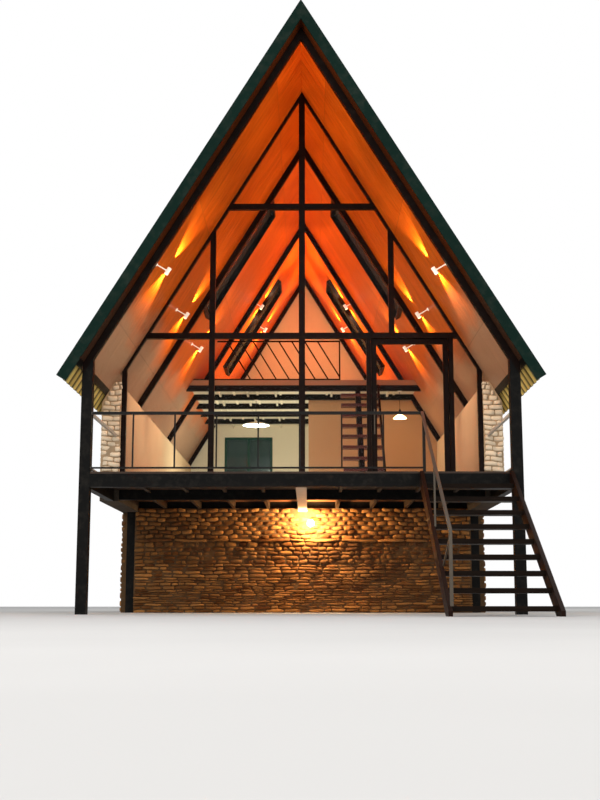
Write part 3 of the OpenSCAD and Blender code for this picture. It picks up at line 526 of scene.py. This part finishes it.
def stones(name, wall, material, seed, bulge=6.0, amount=0.007):
    """Rubble stones: unit cube points q become q / |q|_bulge, a box with round corners, scaled to each stone,
    roughened by wander and kept above the ground."""
    centres, sizes, axes = [np.asarray(v, float) for v in wall]
    unit, quads = pebble_template(3)
    unit = unit / (np.abs(unit) ** bulge).sum(axis=1, keepdims=True) ** (1 / bulge)
    points = centres[:, None] + unit[None] * sizes[:, None] / 2 @ axes
    points = points + wander(points.reshape(-1, 3), 7.0, amount, seed).reshape(points.shape)
    points[..., 2] = np.maximum(points[..., 2], 0.0)
    tint = np.random.default_rng(seed).uniform(0, 1, len(centres))
    return copies(name, points, quads, NO_TRIS, material, tint, True)


def brick_layout(width, height, unit, course, joint, seed, spread):
    """Centres (u, v) and sizes of bricks laid in running bond over a rectangle, cut at its ends."""
    rng = np.random.default_rng(seed)
    places, sizes = [], []
    rows = max(1, int(round(height / course)))
    tall = height / rows
    for row in range(rows):
        cuts = np.arange(-1, int(width / unit) + 2) * unit + (unit / 2 if row % 2 else 0)
        cuts = cuts + rng.uniform(-spread, spread, len(cuts))
        cuts = np.clip(cuts, 0, width)
        for a, b in zip(cuts[:-1], cuts[1:]):
            if b - a > unit * 0.22:
                places.append(((a + b) / 2, (row + 0.5) * tall))
                sizes.append((b - a - joint, tall - joint))
    return np.array(places), np.array(sizes)


def stone_layout(width, height, unit, course, joint, seed):
    """Centres and sizes of stones in uneven courses: heights and lengths vary by a third."""
    rng = np.random.default_rng(seed)
    tall = course * rng.uniform(0.7, 1.35, int(height / course) + 1)
    tall = tall / tall.sum() * height
    places, sizes, base = [], [], 0.0
    for h in tall:
        long = unit * rng.uniform(0.55, 1.6, int(width / unit) + 2)
        long = long / long.sum() * width
        edges = np.concatenate([[0], np.cumsum(long)])
        for a, b in zip(edges[:-1], edges[1:]):
            dip = rng.uniform(-0.18, 0.18) * h
            places.append(((a + b) / 2, base + h / 2 + dip * 0.3))
            sizes.append((b - a - joint, h - joint - abs(dip) * 0.3))
        base += h
    return np.array(places), np.array(sizes)


def on_wall(places, sizes, origin, along, out, depth, proud):
    """Turns flat places (u, v) into centres, sizes and axes: centre = origin + u along + v up +
    (proud - depth / 2) out. X of a block runs along the wall, Y out of it and Z up."""
    along, out = np.array(along, float), np.array(out, float)
    up = np.array([0, 0, 1.0])
    centres = np.array(origin) + places[:, :1] * along + places[:, 1:] * up + out * (proud - depth / 2)
    return centres, table(sizes[:, 0], depth, sizes[:, 1]), np.array([along, out, up])


def turned(profile, steps, origin, axis=(0, 0, -1)):
    """Points and quads of a turned form: point = origin + r cos t u + r sin t v + h axis, where the profile
    (r, h) in millimetres goes from the axis out and back to it, and u, v are square to the axis. The faces
    are turned outwards by the sign of the enclosed volume."""
    profile = np.array(profile, float) / 1000
    axis = np.array(axis, float) / np.linalg.norm(axis)
    side = np.cross(axis, [0.3, 0.9, 0.2])
    u = side / np.linalg.norm(side)
    v = np.cross(axis, u)
    t = np.linspace(0, 2 * math.pi, steps, endpoint=False)
    ring = np.cos(t)[:, None] * u + np.sin(t)[:, None] * v
    radius, height = profile.T[:, :, None, None]
    points = np.array(origin) + radius * ring[None] + height * axis
    quads = grid_quads(len(profile), steps, True).reshape(-1, 4)
    points = points.reshape(-1, 3)
    a, b, c, d = np.moveaxis(points[quads] - np.array(origin), 1, 0)
    volume = (np.cross(a, b) * c + np.cross(a, c) * d).sum()
    return points, quads if volume > 0 else quads[:, ::-1]


def joined(name, parts, material):
    """One smooth piece from several forms, with the points that coincide on the turning axis merged."""
    points, quads = zip(*parts)
    first = np.cumsum([0] + [len(p) for p in points[:-1]])
    quads = np.concatenate([q + k for q, k in zip(quads, first)])
    obj = piece(name, np.concatenate(points), quads, NO_TRIS, material, None, True)
    form = bmesh.new()
    form.from_mesh(obj.data)
    bmesh.ops.remove_doubles(form, verts=form.verts, dist=0.00005)
    form.to_mesh(obj.data)
    form.free()
    obj.data.set_sharp_from_angle(angle=math.radians(35))
    return obj


def dress(material, *names):
    """Gives CAD nodes a finish."""
    for name in names:
        mesh = NODES[name].data
        mesh.materials.clear()
        mesh.materials.append(material)


def light(kind, name, place, power, tint, aim=None, **settings):
    """A lamp that lights the scene and isn't seen itself; aim is the direction of its beam."""
    lamp = bpy.data.lights.new(name, kind)
    lamp.energy, lamp.color = power, tint
    for key, value in settings.items():
        setattr(lamp, key, value)
    obj = put(name, lamp)
    obj.location = place
    if aim is not None:
        obj.rotation_euler = Vector(aim).to_track_quat("-Z", "Y").to_euler()
    obj.visible_camera = obj.visible_glossy = False


def sizes_of():
    return bpy.context.scene.cabin_sizes


def colours_of():
    return bpy.context.scene.cabin_colours


def slope_frame(side):
    """Origin at the ridge, and the three directions on one slope: down it, along the house and out of it."""
    p = sizes_of().pitch
    return (np.array([0, 0, sizes_of().apex]), np.array([side * math.cos(p), 0, -math.sin(p)]),
            np.array([0, 1.0, 0]), np.array([side * math.sin(p), 0, math.cos(p)]))


# Operators

class CABIN_OT_finishes(bpy.types.Operator):
    """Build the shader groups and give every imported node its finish"""
    bl_idname = "cabin.finishes"
    bl_label = "Finishes"

    def execute(self, context):
        make_painted_group()
        make_grain_group()
        make_joint_group()
        make_masonry_group()
        c = colours_of()
        black = paint("Black steel paint", c.steel, 1.0, 0.5, 0.035, 0.42, spec=0.08)
        brown = paint("Brown steel paint", c.brown, 1.0, 0.5, 0.02, 0.38, spec=0.08)
        dress(black, "posts", "cross_beams", "side_beams", "eave_beams", "loft_beams", "skylight_frames")
        # Painted highlight: the side rails beyond the posts are painted pale for their lit look, while the
        # front rails stay black
        rail = beyond(POSTS[1].x - POST_W - HAIR, c.steel, (0.52, 0.48, 0.41))
        dress(paint("Railing paint with painted highlight", rail, 1.0, 0.5, 0.03, 0.4, spec=0.25), "deck_railings")
        dress(paint("Joist primer", (0.035, 0.023, 0.014), 1.2, 0.5, 0.1, 0.6), "floor_joists")
        dress(brown, "left_rafters", "right_rafters", "glazed_gable_posts", "glazed_gable_rails", "door_leaf",
              "loft_railing", "inner_stair_stringers")
        dress(paint("Roof green coating", c.green, 0.7, 0.5, 0.04, 0.36, spec=0.08), "left_barge_boards",
              "right_barge_boards", "ridge_cap", "left_roof", "right_roof")
        dress(paint("Stringer brown paint", (0.013, 0.005, 0.003), 1.0, 0.5, 0.02, 0.45, spec=0.08),
              "stair_stringers")
        dress(paint("Pale beam paint", (0.66, 0.56, 0.43), 1.0, 0.3, 0.15, 0.5), "centre_beams")
        dress(paint("Galvanised tube", (0.10, 0.082, 0.062), 1.5, 0.5, 0.08, 0.40, metallic=0.5),
              "stair_handrail", "door_handle")
        dress(paint("Tarred concrete", (0.055, 0.045, 0.035), 1.2, 0.6, 0.12, 0.85, 0.6, spec=0.1),
              "ring_beams")
        dress(paint("Cream plaster", dim(c.cream, 0.8), 0.9, 0.12, 0.12, 0.85, 0.5), "rear_wall")
        dress(paint("Tan plaster", (0.52, 0.32, 0.17), 0.9, 0.15, 0.10, 0.85, 0.5), "partition_wall")
        # Painted shade: the inner faces take the brick paint darkened and warmed for the shade inside the
        # house; the faces beyond them take the mortar colour
        shaded = [v * w for v, w in zip(c.brick, (0.80, 0.70, 0.58))]
        wall = beyond(BRICK[0].x + HAIR, shaded, c.mortar)
        dress(paint("Side wall paint", wall, 1.1, 0.2, 0.08, 0.85, 0.9, spec=0.2, distance=0.004),
              "left_brick_wall", "right_brick_wall")
        dress(paint("Stone mortar", (0.10, 0.055, 0.025), 1.5, 0.4, 0.1, 0.95, 0.6, spec=0.15),
              "stone_front_wall", "stone_side_walls", "stone_rear_wall")
        dress(paint("Window green paint", (0.010, 0.052, 0.040), 1.0, 0.3, 0.05, 0.35), "rear_window_frame")
        dress(plywood("Varnished plywood", c.ply_light, c.ply_dark), "left_lining", "right_lining")
        dress(timber("Rough batten", (0.40, 0.27, 0.15), (0.22, 0.13, 0.07), "y"), "roof_battens")
        dress(timber("Dark oiled tread", dim(c.deck, 0.35), dim(c.deck, 0.14), "x", 7.0, spec=0.05),
              "stair_treads")
        dress(timber("Red stained tread", dim(c.tread, 1.5), dim(c.tread, 0.6), "x", 7.0, coat=0.2),
              "inner_stair_treads")
        edge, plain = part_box("loft_floor")[0].y + 0.001, (0.40, 0.215, 0.105)
        dress(planks("Cream boards", c.cream, dim(c.cream, 0.75), 0.10, 2.6, edge, plain), "loft_floor")
        dress(planks("House boards", (0.36, 0.15, 0.06), (0.16, 0.055, 0.02), 0.10, 2.0), "house_floor")
        dress(planks("Deck boards below", c.deck, dim(c.deck, 0.5), 0.14, 3.0), "deck_floor")
        dress(clear_glass("Clear window glass", (0.02, 0.03, 0.03), 0.02, 0.5),
              "glazed_gable_panes", "door_glass")
        dress(clear_glass("Dark green glass", (0.012, 0.040, 0.030), 0.86, 0.95, 0.08, 0.4),
              "rear_window_glass")
        # Painted reflection and shade: the skylight glass is nearly opaque and grey-brown, for the dark night
        # behind it and the reflections on it
        dress(clear_glass("Skylight glass with painted reflection and shade", (0.090, 0.070, 0.052), 0.90, 0.97, 0.10, 0.3),
              "skylight_glass")
        dress(paint("Lamp enamel", (0.80, 0.76, 0.68), 1.0, 0.1, 0.05, 0.3), "wall_lamps", "pendant_lamps")
        return {"FINISHED"}


class CABIN_OT_roof(bpy.types.Operator):
    """Lay the ribbed roof sheets with a green top and a pale underside"""
    bl_idname = "cabin.roof"
    bl_label = "Roof sheets"

    def execute(self, context):
        s = sizes_of()
        low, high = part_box("left_roof")
        self.pitch = s.rib_pitch
        self.bays = int((high.y - low.y) / self.pitch + 1e-6)
        self.start = (low.y + high.y) / 2 - self.bays * self.pitch / 2
        packed_t = 0.006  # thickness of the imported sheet
        top_end = -0.082  # where the sheets of the two slopes almost meet at the ridge
        self.reach = (-low.x - (SHEET_OFF + s.rib_height + packed_t) * math.sin(s.pitch)) / math.cos(s.pitch)
        top, under = bpy.data.materials["Roof green coating"], self.underside(colours_of().underside)
        # One bay of a sheet, as place along it (of 250) and share of the rib's height: one wide rib, two low
        unit = np.array([[0, 0], [16, 0.22], [30, 0.22], [46, 0], [65, 0], [95, 1], [155, 1], [185, 0],
                         [204, 0], [220, 0.22], [234, 0.22]]) * (self.pitch / 250, s.rib_height)
        y = (self.start + np.arange(self.bays)[:, None] * self.pitch + unit[None, :, 0]).ravel()
        end = 0.0005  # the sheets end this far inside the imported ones
        y = np.concatenate([[low.y + end], y, [high.y - end]])
        h = np.concatenate([[0], np.tile(unit[:, 1], self.bays), [0]])
        d0, d1, holes = skylight_places()
        marks = np.unique(np.concatenate([y, np.ravel(holes)]))
        h = np.interp(marks, y, h)
        stations = np.unique(np.concatenate([np.linspace(top_end, d0, 4), np.linspace(d0, d1, 6),
                                             np.linspace(d1, self.reach, 8)]))
        mid_s, mid_y = (stations[:-1] + stations[1:]) / 2, (marks[:-1] + marks[1:]) / 2
        keep = ~self.in_holes(mid_s[:, None], mid_y[None], 0.0)
        # A point of a sheet is ridge + station down + mark along + (sheet's base + rib's height) out
        for side, word in ((-1, "left"), (1, "right")):
            ridge, down, along, out = slope_frame(side)
            grid = (ridge + stations[:, None, None] * down + marks[None, :, None] * along
                    + (SHEET_OFF + h)[None, :, None] * out)
            quads = grid_quads(len(stations), len(marks))[..., ::side]
            sheet = piece(word + "_roof_sheets", grid, quads[keep], NO_TRIS, under)
            sheet.data.materials.append(top)
            shell = sheet.modifiers.new("Sheet metal", "SOLIDIFY")
            shell.thickness, shell.offset = SHEET_T, 1.0
            shell.material_offset = 1
            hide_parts(word + "_roof")
            self.screws(word, side)
        return {"FINISHED"}

    def in_holes(self, s, y, margin):
        """Which places on the slope lie in a skylight opening made larger by a margin."""
        d0, d1, holes = skylight_places()
        beside = np.any([(y > y0 - margin) & (y < y1 + margin) for y0, y1 in holes], axis=0)
        return (s > d0 - margin) & (s < d1 + margin) & beside

    def underside(self, base):
        """Pale primer on the pans of the sheets and painted shade inside the ribs, repeated along the house.
        """
        def tone(net):
            along = net.minus(net.axes(net.coord)[1], self.start + self.pitch / 2)
            off = net.times(net.math("PINGPONG", net.over(along, self.pitch), 0.5), self.pitch)
            # Painted shade: the ribs are darkened in the colour, for the shade that lies in their channels
            rib = net.ramp(off, 0.26 * self.pitch, 0.17 * self.pitch, 0.0, 0.93)
            return net.mix(rib, rgba(base), (0.030, 0.022, 0.012, 1))
        return paint("Sheet underside primer and painted rib shade", tone, 0.8, 0.35, 0.12, 0.5, spec=0.25)

    def screws(self, word, side):
        """Hexagon screws with washers on every second rib, in rows over the battens: a point of a screw is
        place + r cos t down + r sin t along + h out, with (r, h) from its rings."""
        ridge, down, along, out = slope_frame(side)
        first, pitch, last = 0.58, 1.1, 0.42  # from the ridge, from row to row, and from the eave
        rows = np.array([first + pitch * k for k in range(5)] + [self.reach - last])
        y = self.start + (np.arange(0, self.bays, 2) + 0.5) * self.pitch
        s, y = [v.ravel() for v in np.meshgrid(rows, y, indexing="ij")]
        clear = ~self.in_holes(s, y, 0.05)
        s, y = s[clear], y[clear]
        turn = np.linspace(0, 2 * math.pi, 6, endpoint=False)
        washer, head = [(0.011, 0.0), (0.011, 0.003)], [(0.0055, 0.003), (0.0055, 0.009), (0.0001, 0.010)]
        radius, height = np.array(washer + head).T[:, :, None]
        unit = np.broadcast_arrays(radius * np.cos(turn), radius * np.sin(turn), height)
        unit = np.stack(unit, axis=-1).reshape(-1, 3)
        quads = grid_quads(len(washer + head), 6, True).reshape(-1, 4)[:, ::side]
        top = SHEET_OFF + SHEET_T + sizes_of().rib_height
        place = ridge + s[:, None] * down + y[:, None] * along + top * out
        copies(word + "_roof_screws", place[:, None] + unit @ np.array([down, along, out]), quads, NO_TRIS,
               bpy.data.materials["Galvanised tube"])


def skylight_places():
    """Reach of the skylight openings: down the slope from and to, and pairs of places along the house."""
    s = sizes_of()
    low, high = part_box("skylight_frames")
    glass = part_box("skylight_glass")
    frame_w, glass_t, width = 0.0403, 0.010, 1.0
    upper = (s.apex - glass[1].z + glass_t * math.cos(s.pitch)) / math.sin(s.pitch) - frame_w
    lower = (s.apex - glass[0].z) / math.sin(s.pitch) + frame_w
    return upper, lower, [(low.y, low.y + width), (high.y - width, high.y)]


class CABIN_OT_brickwork(bpy.types.Operator):
    """Lay painted bricks on the side walls and their ends"""
    bl_idname = "cabin.brickwork"
    bl_label = "Brickwork"

    def execute(self, context):
        s, c = sizes_of(), colours_of()
        face = masonry("Painted brick", c.brick, dim(c.brick, 0.80), 34.0, 0.05, 0.7, 0.003)
        outer = BRICK[1].x
        base = BRICK[0].z + 0.03  # the first course starts above the foot of the wall
        run, rise = BRICK[1].y - BRICK[0].y, s.apex - outer * math.tan(s.pitch) - base
        flat = brick_layout(run, rise, s.brick_length, s.brick_height, s.brick_joint, 3, 0.004)
        for side, word in ((-1, "left"), (1, "right")):
            wall = on_wall(*flat, (side * outer, BRICK[0].y, base), (0, 1, 0), (side, 0, 0), 0.05, 0.008)
            blocks(word + "_bricks_outside", wall, 0.006, face, 0.0028, 11, 0.006)
            self.end_face(word, side, face, base, s.brick_height, s.brick_joint)
        return {"FINISHED"}

    def end_face(self, word, side, face, base, course, joint):
        """Rough courses on the front end of a side wall, cut off by the slope of the roof."""
        inner, outer = BRICK[0].x, BRICK[1].x
        rng = np.random.default_rng(17 + side)
        rows = int((BRICK[1].z - base) / course)
        centres, sizes = [], []
        for row in range(rows + 1):
            z0 = base + row * course
            z1 = min(z0 + course, BRICK[1].z)
            reach = min(outer, (sizes_of().apex - z1) / math.tan(sizes_of().pitch))
            if z1 - z0 < 0.03 or reach - inner < 0.05:
                continue
            split = inner + (reach - inner) * ((0.36 if row % 2 else 0.64) + rng.uniform(-0.09, 0.09))
            for a, b in ((inner, split), (split, reach)):
                push = rng.uniform(-0.008, 0.008, 3)
                centres.append((side * (a + b) / 2 + push[0], BRICK[0].y + 0.012 + push[1],
                                (z0 + z1) / 2 + push[2] * 0.4))
                sizes.append((b - a - joint * rng.uniform(0.2, 1.4), 0.07,
                              (z1 - z0 - joint * 0.6) * rng.uniform(0.9, 1.0)))
        stones(word + "_bricks_end", (centres, sizes, np.eye(3)), face, 21, 7.0, 0.010)


class CABIN_OT_stonework(bpy.types.Operator):
    """Lay rubble stones on the walls of the base"""
    bl_idname = "cabin.stonework"
    bl_label = "Stonework"

    def execute(self, context):
        s, c = sizes_of(), colours_of()
        face = masonry("Rubble stone", c.stone_light, c.stone_dark, 38.0, 0.35, 0.9, 0.012, 0.15)
        unit = (s.stone_length, s.stone_height, s.stone_joint)
        self.front_wall(face, c)
        low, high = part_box("stone_side_walls")
        sunk = (0.10, 0.028)  # depth of a stone, and how far it stands out
        for side, word in ((-1, "left"), (1, "right")):
            flat = stone_layout(high.y - low.y, high.z, *unit, 8 + side)
            wall = on_wall(*flat, (side * high.x, low.y, 0), (0, 1, 0), (side, 0, 0), *sunk)
            stones(word + "_wall_stones", wall, face, 60 + side)
        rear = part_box("stone_rear_wall")[1]
        flat = stone_layout(2 * high.x, rear.z, *unit, 13)
        wall = on_wall(*flat, (-high.x, rear.y, 0), (1, 0, 0), (0, 1, 0), *sunk)
        stones("rear_wall_stones", wall, face, 71)
        return {"FINISHED"}

    def front_wall(self, face, c):
        """Four bands, from the ground up: thin ragged courses, darker rubble, a ledge, and hewn blocks."""
        low, high = STONE_FRONT
        width = high.x - low.x
        # Painted shade: the rubble band under the ledge takes darker stone tones, for the shadow of the ledge
        dark = masonry("Shaded rubble", dim(c.stone_light, 0.62), c.stone_dark, 38.0, 0.5, 0.9, 0.012, 0.15)
        # Word, from and to height, length and height of a stone, how far it stands out, roughness, and the
        # spread of the bond
        bands = [
            ("strata", 0.0, 0.84, 0.24, 0.052, 0.032, 0.014, None),
            ("rubble", 0.84, 1.21, 0.17, 0.080, 0.030, 0.014, None),
            ("ledge", 1.21, 1.265, 0.55, 0.055, 0.066, 0.010, None),
            ("hewn", 1.265, 1.797, 0.180, 0.0760, 0.030, 0.012, 0.030),
        ]
        for k, (word, z0, z1, unit, course, proud, rough, bond) in enumerate(bands):
            if bond:
                places, sizes = brick_layout(width, z1 - z0, unit, course, 0.013, 5, bond)
            else:
                places, sizes = stone_layout(width, z1 - z0, unit, course, 0.012, 5 + k)
            top = z0 + places[:, 1] + sizes[:, 1] / 2
            keep = (top < 1.70) | (np.abs(low.x + places[:, 0]) > 0.20)  # room for the middle beam
            wall = on_wall(places[keep], sizes[keep], (low.x, low.y, z0), (1, 0, 0), (0, -1, 0), 0.12, proud)
            wall[0][:, 1] += np.random.default_rng(40 + k).uniform(-rough, rough, len(wall[0]))
            look = dark if word == "rubble" else face
            stones("front_wall_" + word, wall, look, 51 + k, 5.0, rough * 0.9)


class CABIN_OT_deck(bpy.types.Operator):
    """Lay the deck boards"""
    bl_idname = "cabin.deck"
    bl_label = "Deck boards"

    def execute(self, context):
        s, c = sizes_of(), colours_of()
        wood = timber("Oiled deck board", dim(c.deck, 1.5), dim(c.deck, 0.55), "x", 7.0, 0.6, 0.5)
        low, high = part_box("deck_floor")
        rest = np.arange(low.y + POST_W, high.y - 0.02, s.board_width)
        edges = np.concatenate([[low.y], rest, [high.y]])
        mid, wide = (edges[:-1] + edges[1:]) / 2, np.diff(edges) - s.board_gap
        half = np.full(len(mid), high.x)
        half[0] = high.x - POST_W - 0.002  # the first board lies between the posts
        centres = table(0, mid, (low.z + high.z) / 2)
        sizes = table(2 * half, wide, high.z - low.z)
        boards = blocks("deck_boards", (centres, sizes, np.eye(3)), 0.003, wood, 0.0006, 41)
        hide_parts("deck_floor")
        return {"FINISHED"}


class CABIN_OT_loft(bpy.types.Operator):
    """Lay cover strips under the loft ceiling between its beams"""
    bl_idname = "cabin.loft"
    bl_label = "Loft ceiling"

    def execute(self, context):
        c = colours_of()
        low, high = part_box("loft_beams")
        wood = timber("Cream strip", c.cream, dim(c.cream, 0.8), "y", 6.0, 0.3, 0.5)
        beam, first = 0.1, 1.085  # width of a beam, and from the first beam to the second
        edges = np.array([low.y, low.y + first, *np.linspace(low.y + 2 * first + beam, high.y - beam, 3)])
        x = np.array([-1.95, -1.5, -1.0, -0.5, 0.0, 0.5, 1.0, 1.5, 1.95])
        x, k = [v.ravel() for v in np.meshgrid(x, np.arange(4), indexing="ij")]
        start, stop = edges[:-1] + beam + 0.001, edges[1:] - 0.001
        wide, thick = 0.045, 0.022
        centres = table(x, ((start + stop) / 2)[k], high.z - thick / 2)
        sizes = table(wide, (stop - start)[k], thick)
        blocks("ceiling_strips", (centres, sizes, np.eye(3)), 0.002, wood, 0.0004, 45)
        return {"FINISHED"}


class CABIN_OT_lamps(bpy.types.Operator):
    """Turn the lamps, light their faces and let them shine"""
    bl_idname = "cabin.lamps"
    bl_label = "Lamps"

    def execute(self, context):
        c, s = colours_of(), sizes_of()
        lit = glow("Lit lens", c.light, 9.0)
        body, lens = [], []
        rose = [(0, 0), (32, 0), (32, 6), (26, 11), (12, 14), (0, 14)]
        arm = [(0, 10), (9, 10), (9, 155), (13, 158), (13, 178), (0, 180)]
        pane = [(0, 55), (13, 54.5), (22.5, 52.8), (25.5, 50.5), (0, 50.5)]
        tube = [(0, 50), (26, 50), (27, 55), (31, 55), (32, 52), (32, 34), (29, 31)]
        tube = [(r, -h) for r, h in tube] + tube[::-1]
        # Where the beams start, from the foot of a lamp: behind it, off the lining, up the slope, either way
        behind, off, up, apart = 0.70, 0.09, 0.225, 0.065
        for side in (-1, 1):
            ridge, down, run, out = slope_frame(side)
            for k, y in enumerate((0.386, 3.110, 5.811, 9.239, 11.4635)):
                foot = ridge + (s.lamp_low if k < 3 else s.lamp_high) * down + (FRONT_Y + y) * run
                head = foot - s.lamp_arm * out
                body.append(turned(rose, 20, foot, -out))
                body.append(turned(arm, 12, foot, -out))
                body.append(turned(tube, 24, head, down))
                for way in (-1, 1):
                    lens.append(turned(pane, 20, head, way * down))
                    place = foot + (behind + 0.02 * y) * run - off * out + (apart * way - up) * down
                    light("SPOT", "Beam %d" % len(lens), place, 150.0, (1.0, 0.70, 0.48),
                          way * down + 0.13 * out, spot_size=math.radians(78), spot_blend=0.6,
                          shadow_soft_size=0.02)
        wall = np.array([0.14, STONE_FRONT[0].y, STONE_FRONT[1].z - 0.26])
        front = (0, -1, 0)
        bowl = [(0, 0), (65, 0), (65, 30), (60, 36), (52, 36), (50, 31), (0, 31)]
        body.append(turned(bowl, 28, wall, front))
        lens.append(turned([(0, 55), (22, 52), (38, 44), (49, 32), (0, 31)], 24, wall, front))
        # Painted light: the bodies of the wall lamps glow faintly, for the bright look of the lit fittings
        lamps = joined("wall_lamp_bodies", body, glow("Enamel with painted glow", (1.0, 0.86, 0.66), 0.55))
        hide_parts("wall_lamps")
        joined("wall_lamp_lenses", lens, lit)
        light("POINT", "Stone light", wall + (-0.03, -0.30, 0.02), 185.0, (1.0, 0.66, 0.33),
              shadow_soft_size=0.07)
        self.pendants(c, lit)
        return {"FINISHED"}

    def pendants(self, c, lit):
        """The flat pendant over the room under the loft and the small bell by the partition."""
        low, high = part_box("pendant_lamps")
        big_r, small_r = 0.29, 0.14
        big = np.array([low.x + big_r, high.y - big_r, high.z])
        small = np.array([high.x - small_r, low.y + small_r, high.z])
        parts = [turned([(0, 0), (45, 0), (45, 12), (30, 20), (0, 20)], 24, place) for place in (big, small)]
        cords = [turned([(0, 18), (5, 18), (5, end), (0, end)], 8, place)
                 for place, end in ((big, 455), (small, 465))]
        cords.append(turned([(0, 380), (10, 385), (24, 400), (26, 475), (18, 492), (0, 492)], 16, small))
        parts.append(turned([(0, 452), (20, 452), (24, 470), (60, 484), (165, 506), (255, 536), (289, 556),
                             (289, 562), (250, 545), (0, 520)], 40, big))
        disc = turned([(0, 540), (279, 559), (262, 565), (180, 567), (0, 567)], 40, big)
        bell = turned([(0, 488), (22, 488), (46, 500), (88, 528), (122, 558), (139, 576), (137, 579),
                       (118, 563), (84, 535), (0, 515)], 32, small)
        bulb = turned([(0, 574), (28, 568), (40, 545), (30, 520), (0, 510)], 20, small)
        lamps = joined("pendant_bodies", parts, bpy.data.materials["Lamp enamel"])
        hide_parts("pendant_lamps")
        joined("pendant_cords", cords, bpy.data.materials["Black steel paint"])
        joined("pendant_disc", [disc], glow("Lit disc", c.cool, 7.0))
        joined("pendant_shade", [bell, bulb], lit)
        light("POINT", "Big pendant light", big - (0, 0, 0.68), 85.0, c.cool, shadow_soft_size=0.12)
        light("POINT", "Small pendant light", small - (0, 0, 0.66), 12.0, c.light, shadow_soft_size=0.05)


class CABIN_OT_stage(bpy.types.Operator):
    """Set the floor, the soft lamps, the world and the camera"""
    bl_idname = "cabin.stage"
    bl_label = "Stage"

    def execute(self, context):
        scene = context.scene
        net = Surface("Pale floor")
        cloud = net.ramp(net.noise(net.coord, 0.35, 3.0), 0.3, 0.7)
        tone = net.mix(cloud, (0.60, 0.597, 0.594, 1), (0.64, 0.637, 0.634, 1))
        half = 200.0
        mesh = bpy.data.meshes.new("stage_floor")
        corners = [(-half, -half, 0), (half, -half, 0), (half, half, 0), (-half, half, 0)]
        mesh.from_pydata(corners, [], [(0, 1, 2, 3)])
        mesh.materials.append(net.finish({"Base Color": tone, "Roughness": 0.9, SPEC: 0.1}))
        floor = put("stage_floor", mesh)
        scene.world = bpy.data.worlds.new("Studio")
        scene.world.use_nodes = True
        net = Net(scene.world.node_tree)
        path = net.add("ShaderNodeLightPath").outputs
        seen = path["Is Camera Ray"]
        for ray in ("Is Glossy Ray", "Is Transmission Ray"):
            seen = net.math("MAXIMUM", seen, path[ray])
        back = net.tree.nodes["Background"]
        net.fill(back, {"Color": (1, 1, 1, 1), "Strength": net.ramp(seen, 0.0, 1.0, 0.62, 1.0)})
        white, warm, up = (1.0, 0.98, 0.95), (1.0, 0.88, 0.72), (0, 0, 1)
        # Four studio lamps, then four on the floors. Y is counted from the front posts.
        for name, (x, y, z), aim, size, power, tint in (
                ("Key", (-9, -15, 11), (9, 18, -7.5), 9.0, 1500, white),
                ("Fill", (10, -16, 6), (-10, 19, -2), 9.0, 700, white),
                ("Rear", (6, 26, 14), (-6, -18, -10), 9.0, 900, white),
                ("Inside", (0, -20, 6.5), (0, 25, -1), 7.0, 420, white),
                ("Room", (-0.3, 5.2, 2.05), up, 3.4, 85, warm),
                ("Room under loft", (-0.3, 10.2, 2.05), up, 3.4, 130, (1.0, 0.98, 0.80)),
                ("Loft", (0, 10.6, 4.85), up, 2.2, 150, (1.0, 0.60, 0.28)),
                ("Porch", (0, 1.1, 2.05), up, 2.0, 40, warm)):
            light("AREA", name, (x, FRONT_Y + y, z), power, tint, aim, size=size)
        camera = bpy.data.cameras.new("Camera")
        camera.lens, camera.sensor_width, camera.sensor_fit = 54.0, 36.0, "AUTO"
        camera.clip_end = 500
        eye = put("Camera", camera)  # low in front of the stair, as in the picture
        eye.location = (0.104, FRONT_Y - 16.6, 0.115)
        eye.rotation_euler = (math.pi / 2 + math.radians(9.7408), 0, math.radians(0.41))
        scene.camera = eye
        scene.view_settings.view_transform = "Standard"
        return {"FINISHED"}


class CABIN_PT_panel(bpy.types.Panel):
    """Lists the steps and their sizes and colours"""
    bl_idname = "CABIN_PT_panel"
    bl_label = "A-frame Cabin"
    bl_space_type = "VIEW_3D"
    bl_region_type = "UI"
    bl_category = "Cabin"

    def draw(self, context):
        for step in STEPS:
            self.layout.operator(step.bl_idname)
        for group in (context.scene.cabin_sizes, context.scene.cabin_colours):
            for key in group.__annotations__:
                self.layout.prop(group, key)


STEPS = (CABIN_OT_finishes, CABIN_OT_roof, CABIN_OT_brickwork, CABIN_OT_stonework, CABIN_OT_deck,
         CABIN_OT_loft, CABIN_OT_lamps, CABIN_OT_stage)
CLASSES = (CabinSizes, CabinColours) + STEPS + (CABIN_PT_panel,)


def register():
    for cls in CLASSES:
        bpy.utils.register_class(cls)
    bpy.types.Scene.cabin_sizes = PointerProperty(type=CabinSizes)
    bpy.types.Scene.cabin_colours = PointerProperty(type=CabinColours)


def unregister():
    del bpy.types.Scene.cabin_colours
    del bpy.types.Scene.cabin_sizes
    for cls in reversed(CLASSES):
        bpy.utils.unregister_class(cls)


def main():
    """Builds every piece in order."""
    register()
    for step in STEPS:
        group, name = step.bl_idname.split(".")
        getattr(getattr(bpy.ops, group), name)()


if __name__ == "__main__":
    main()
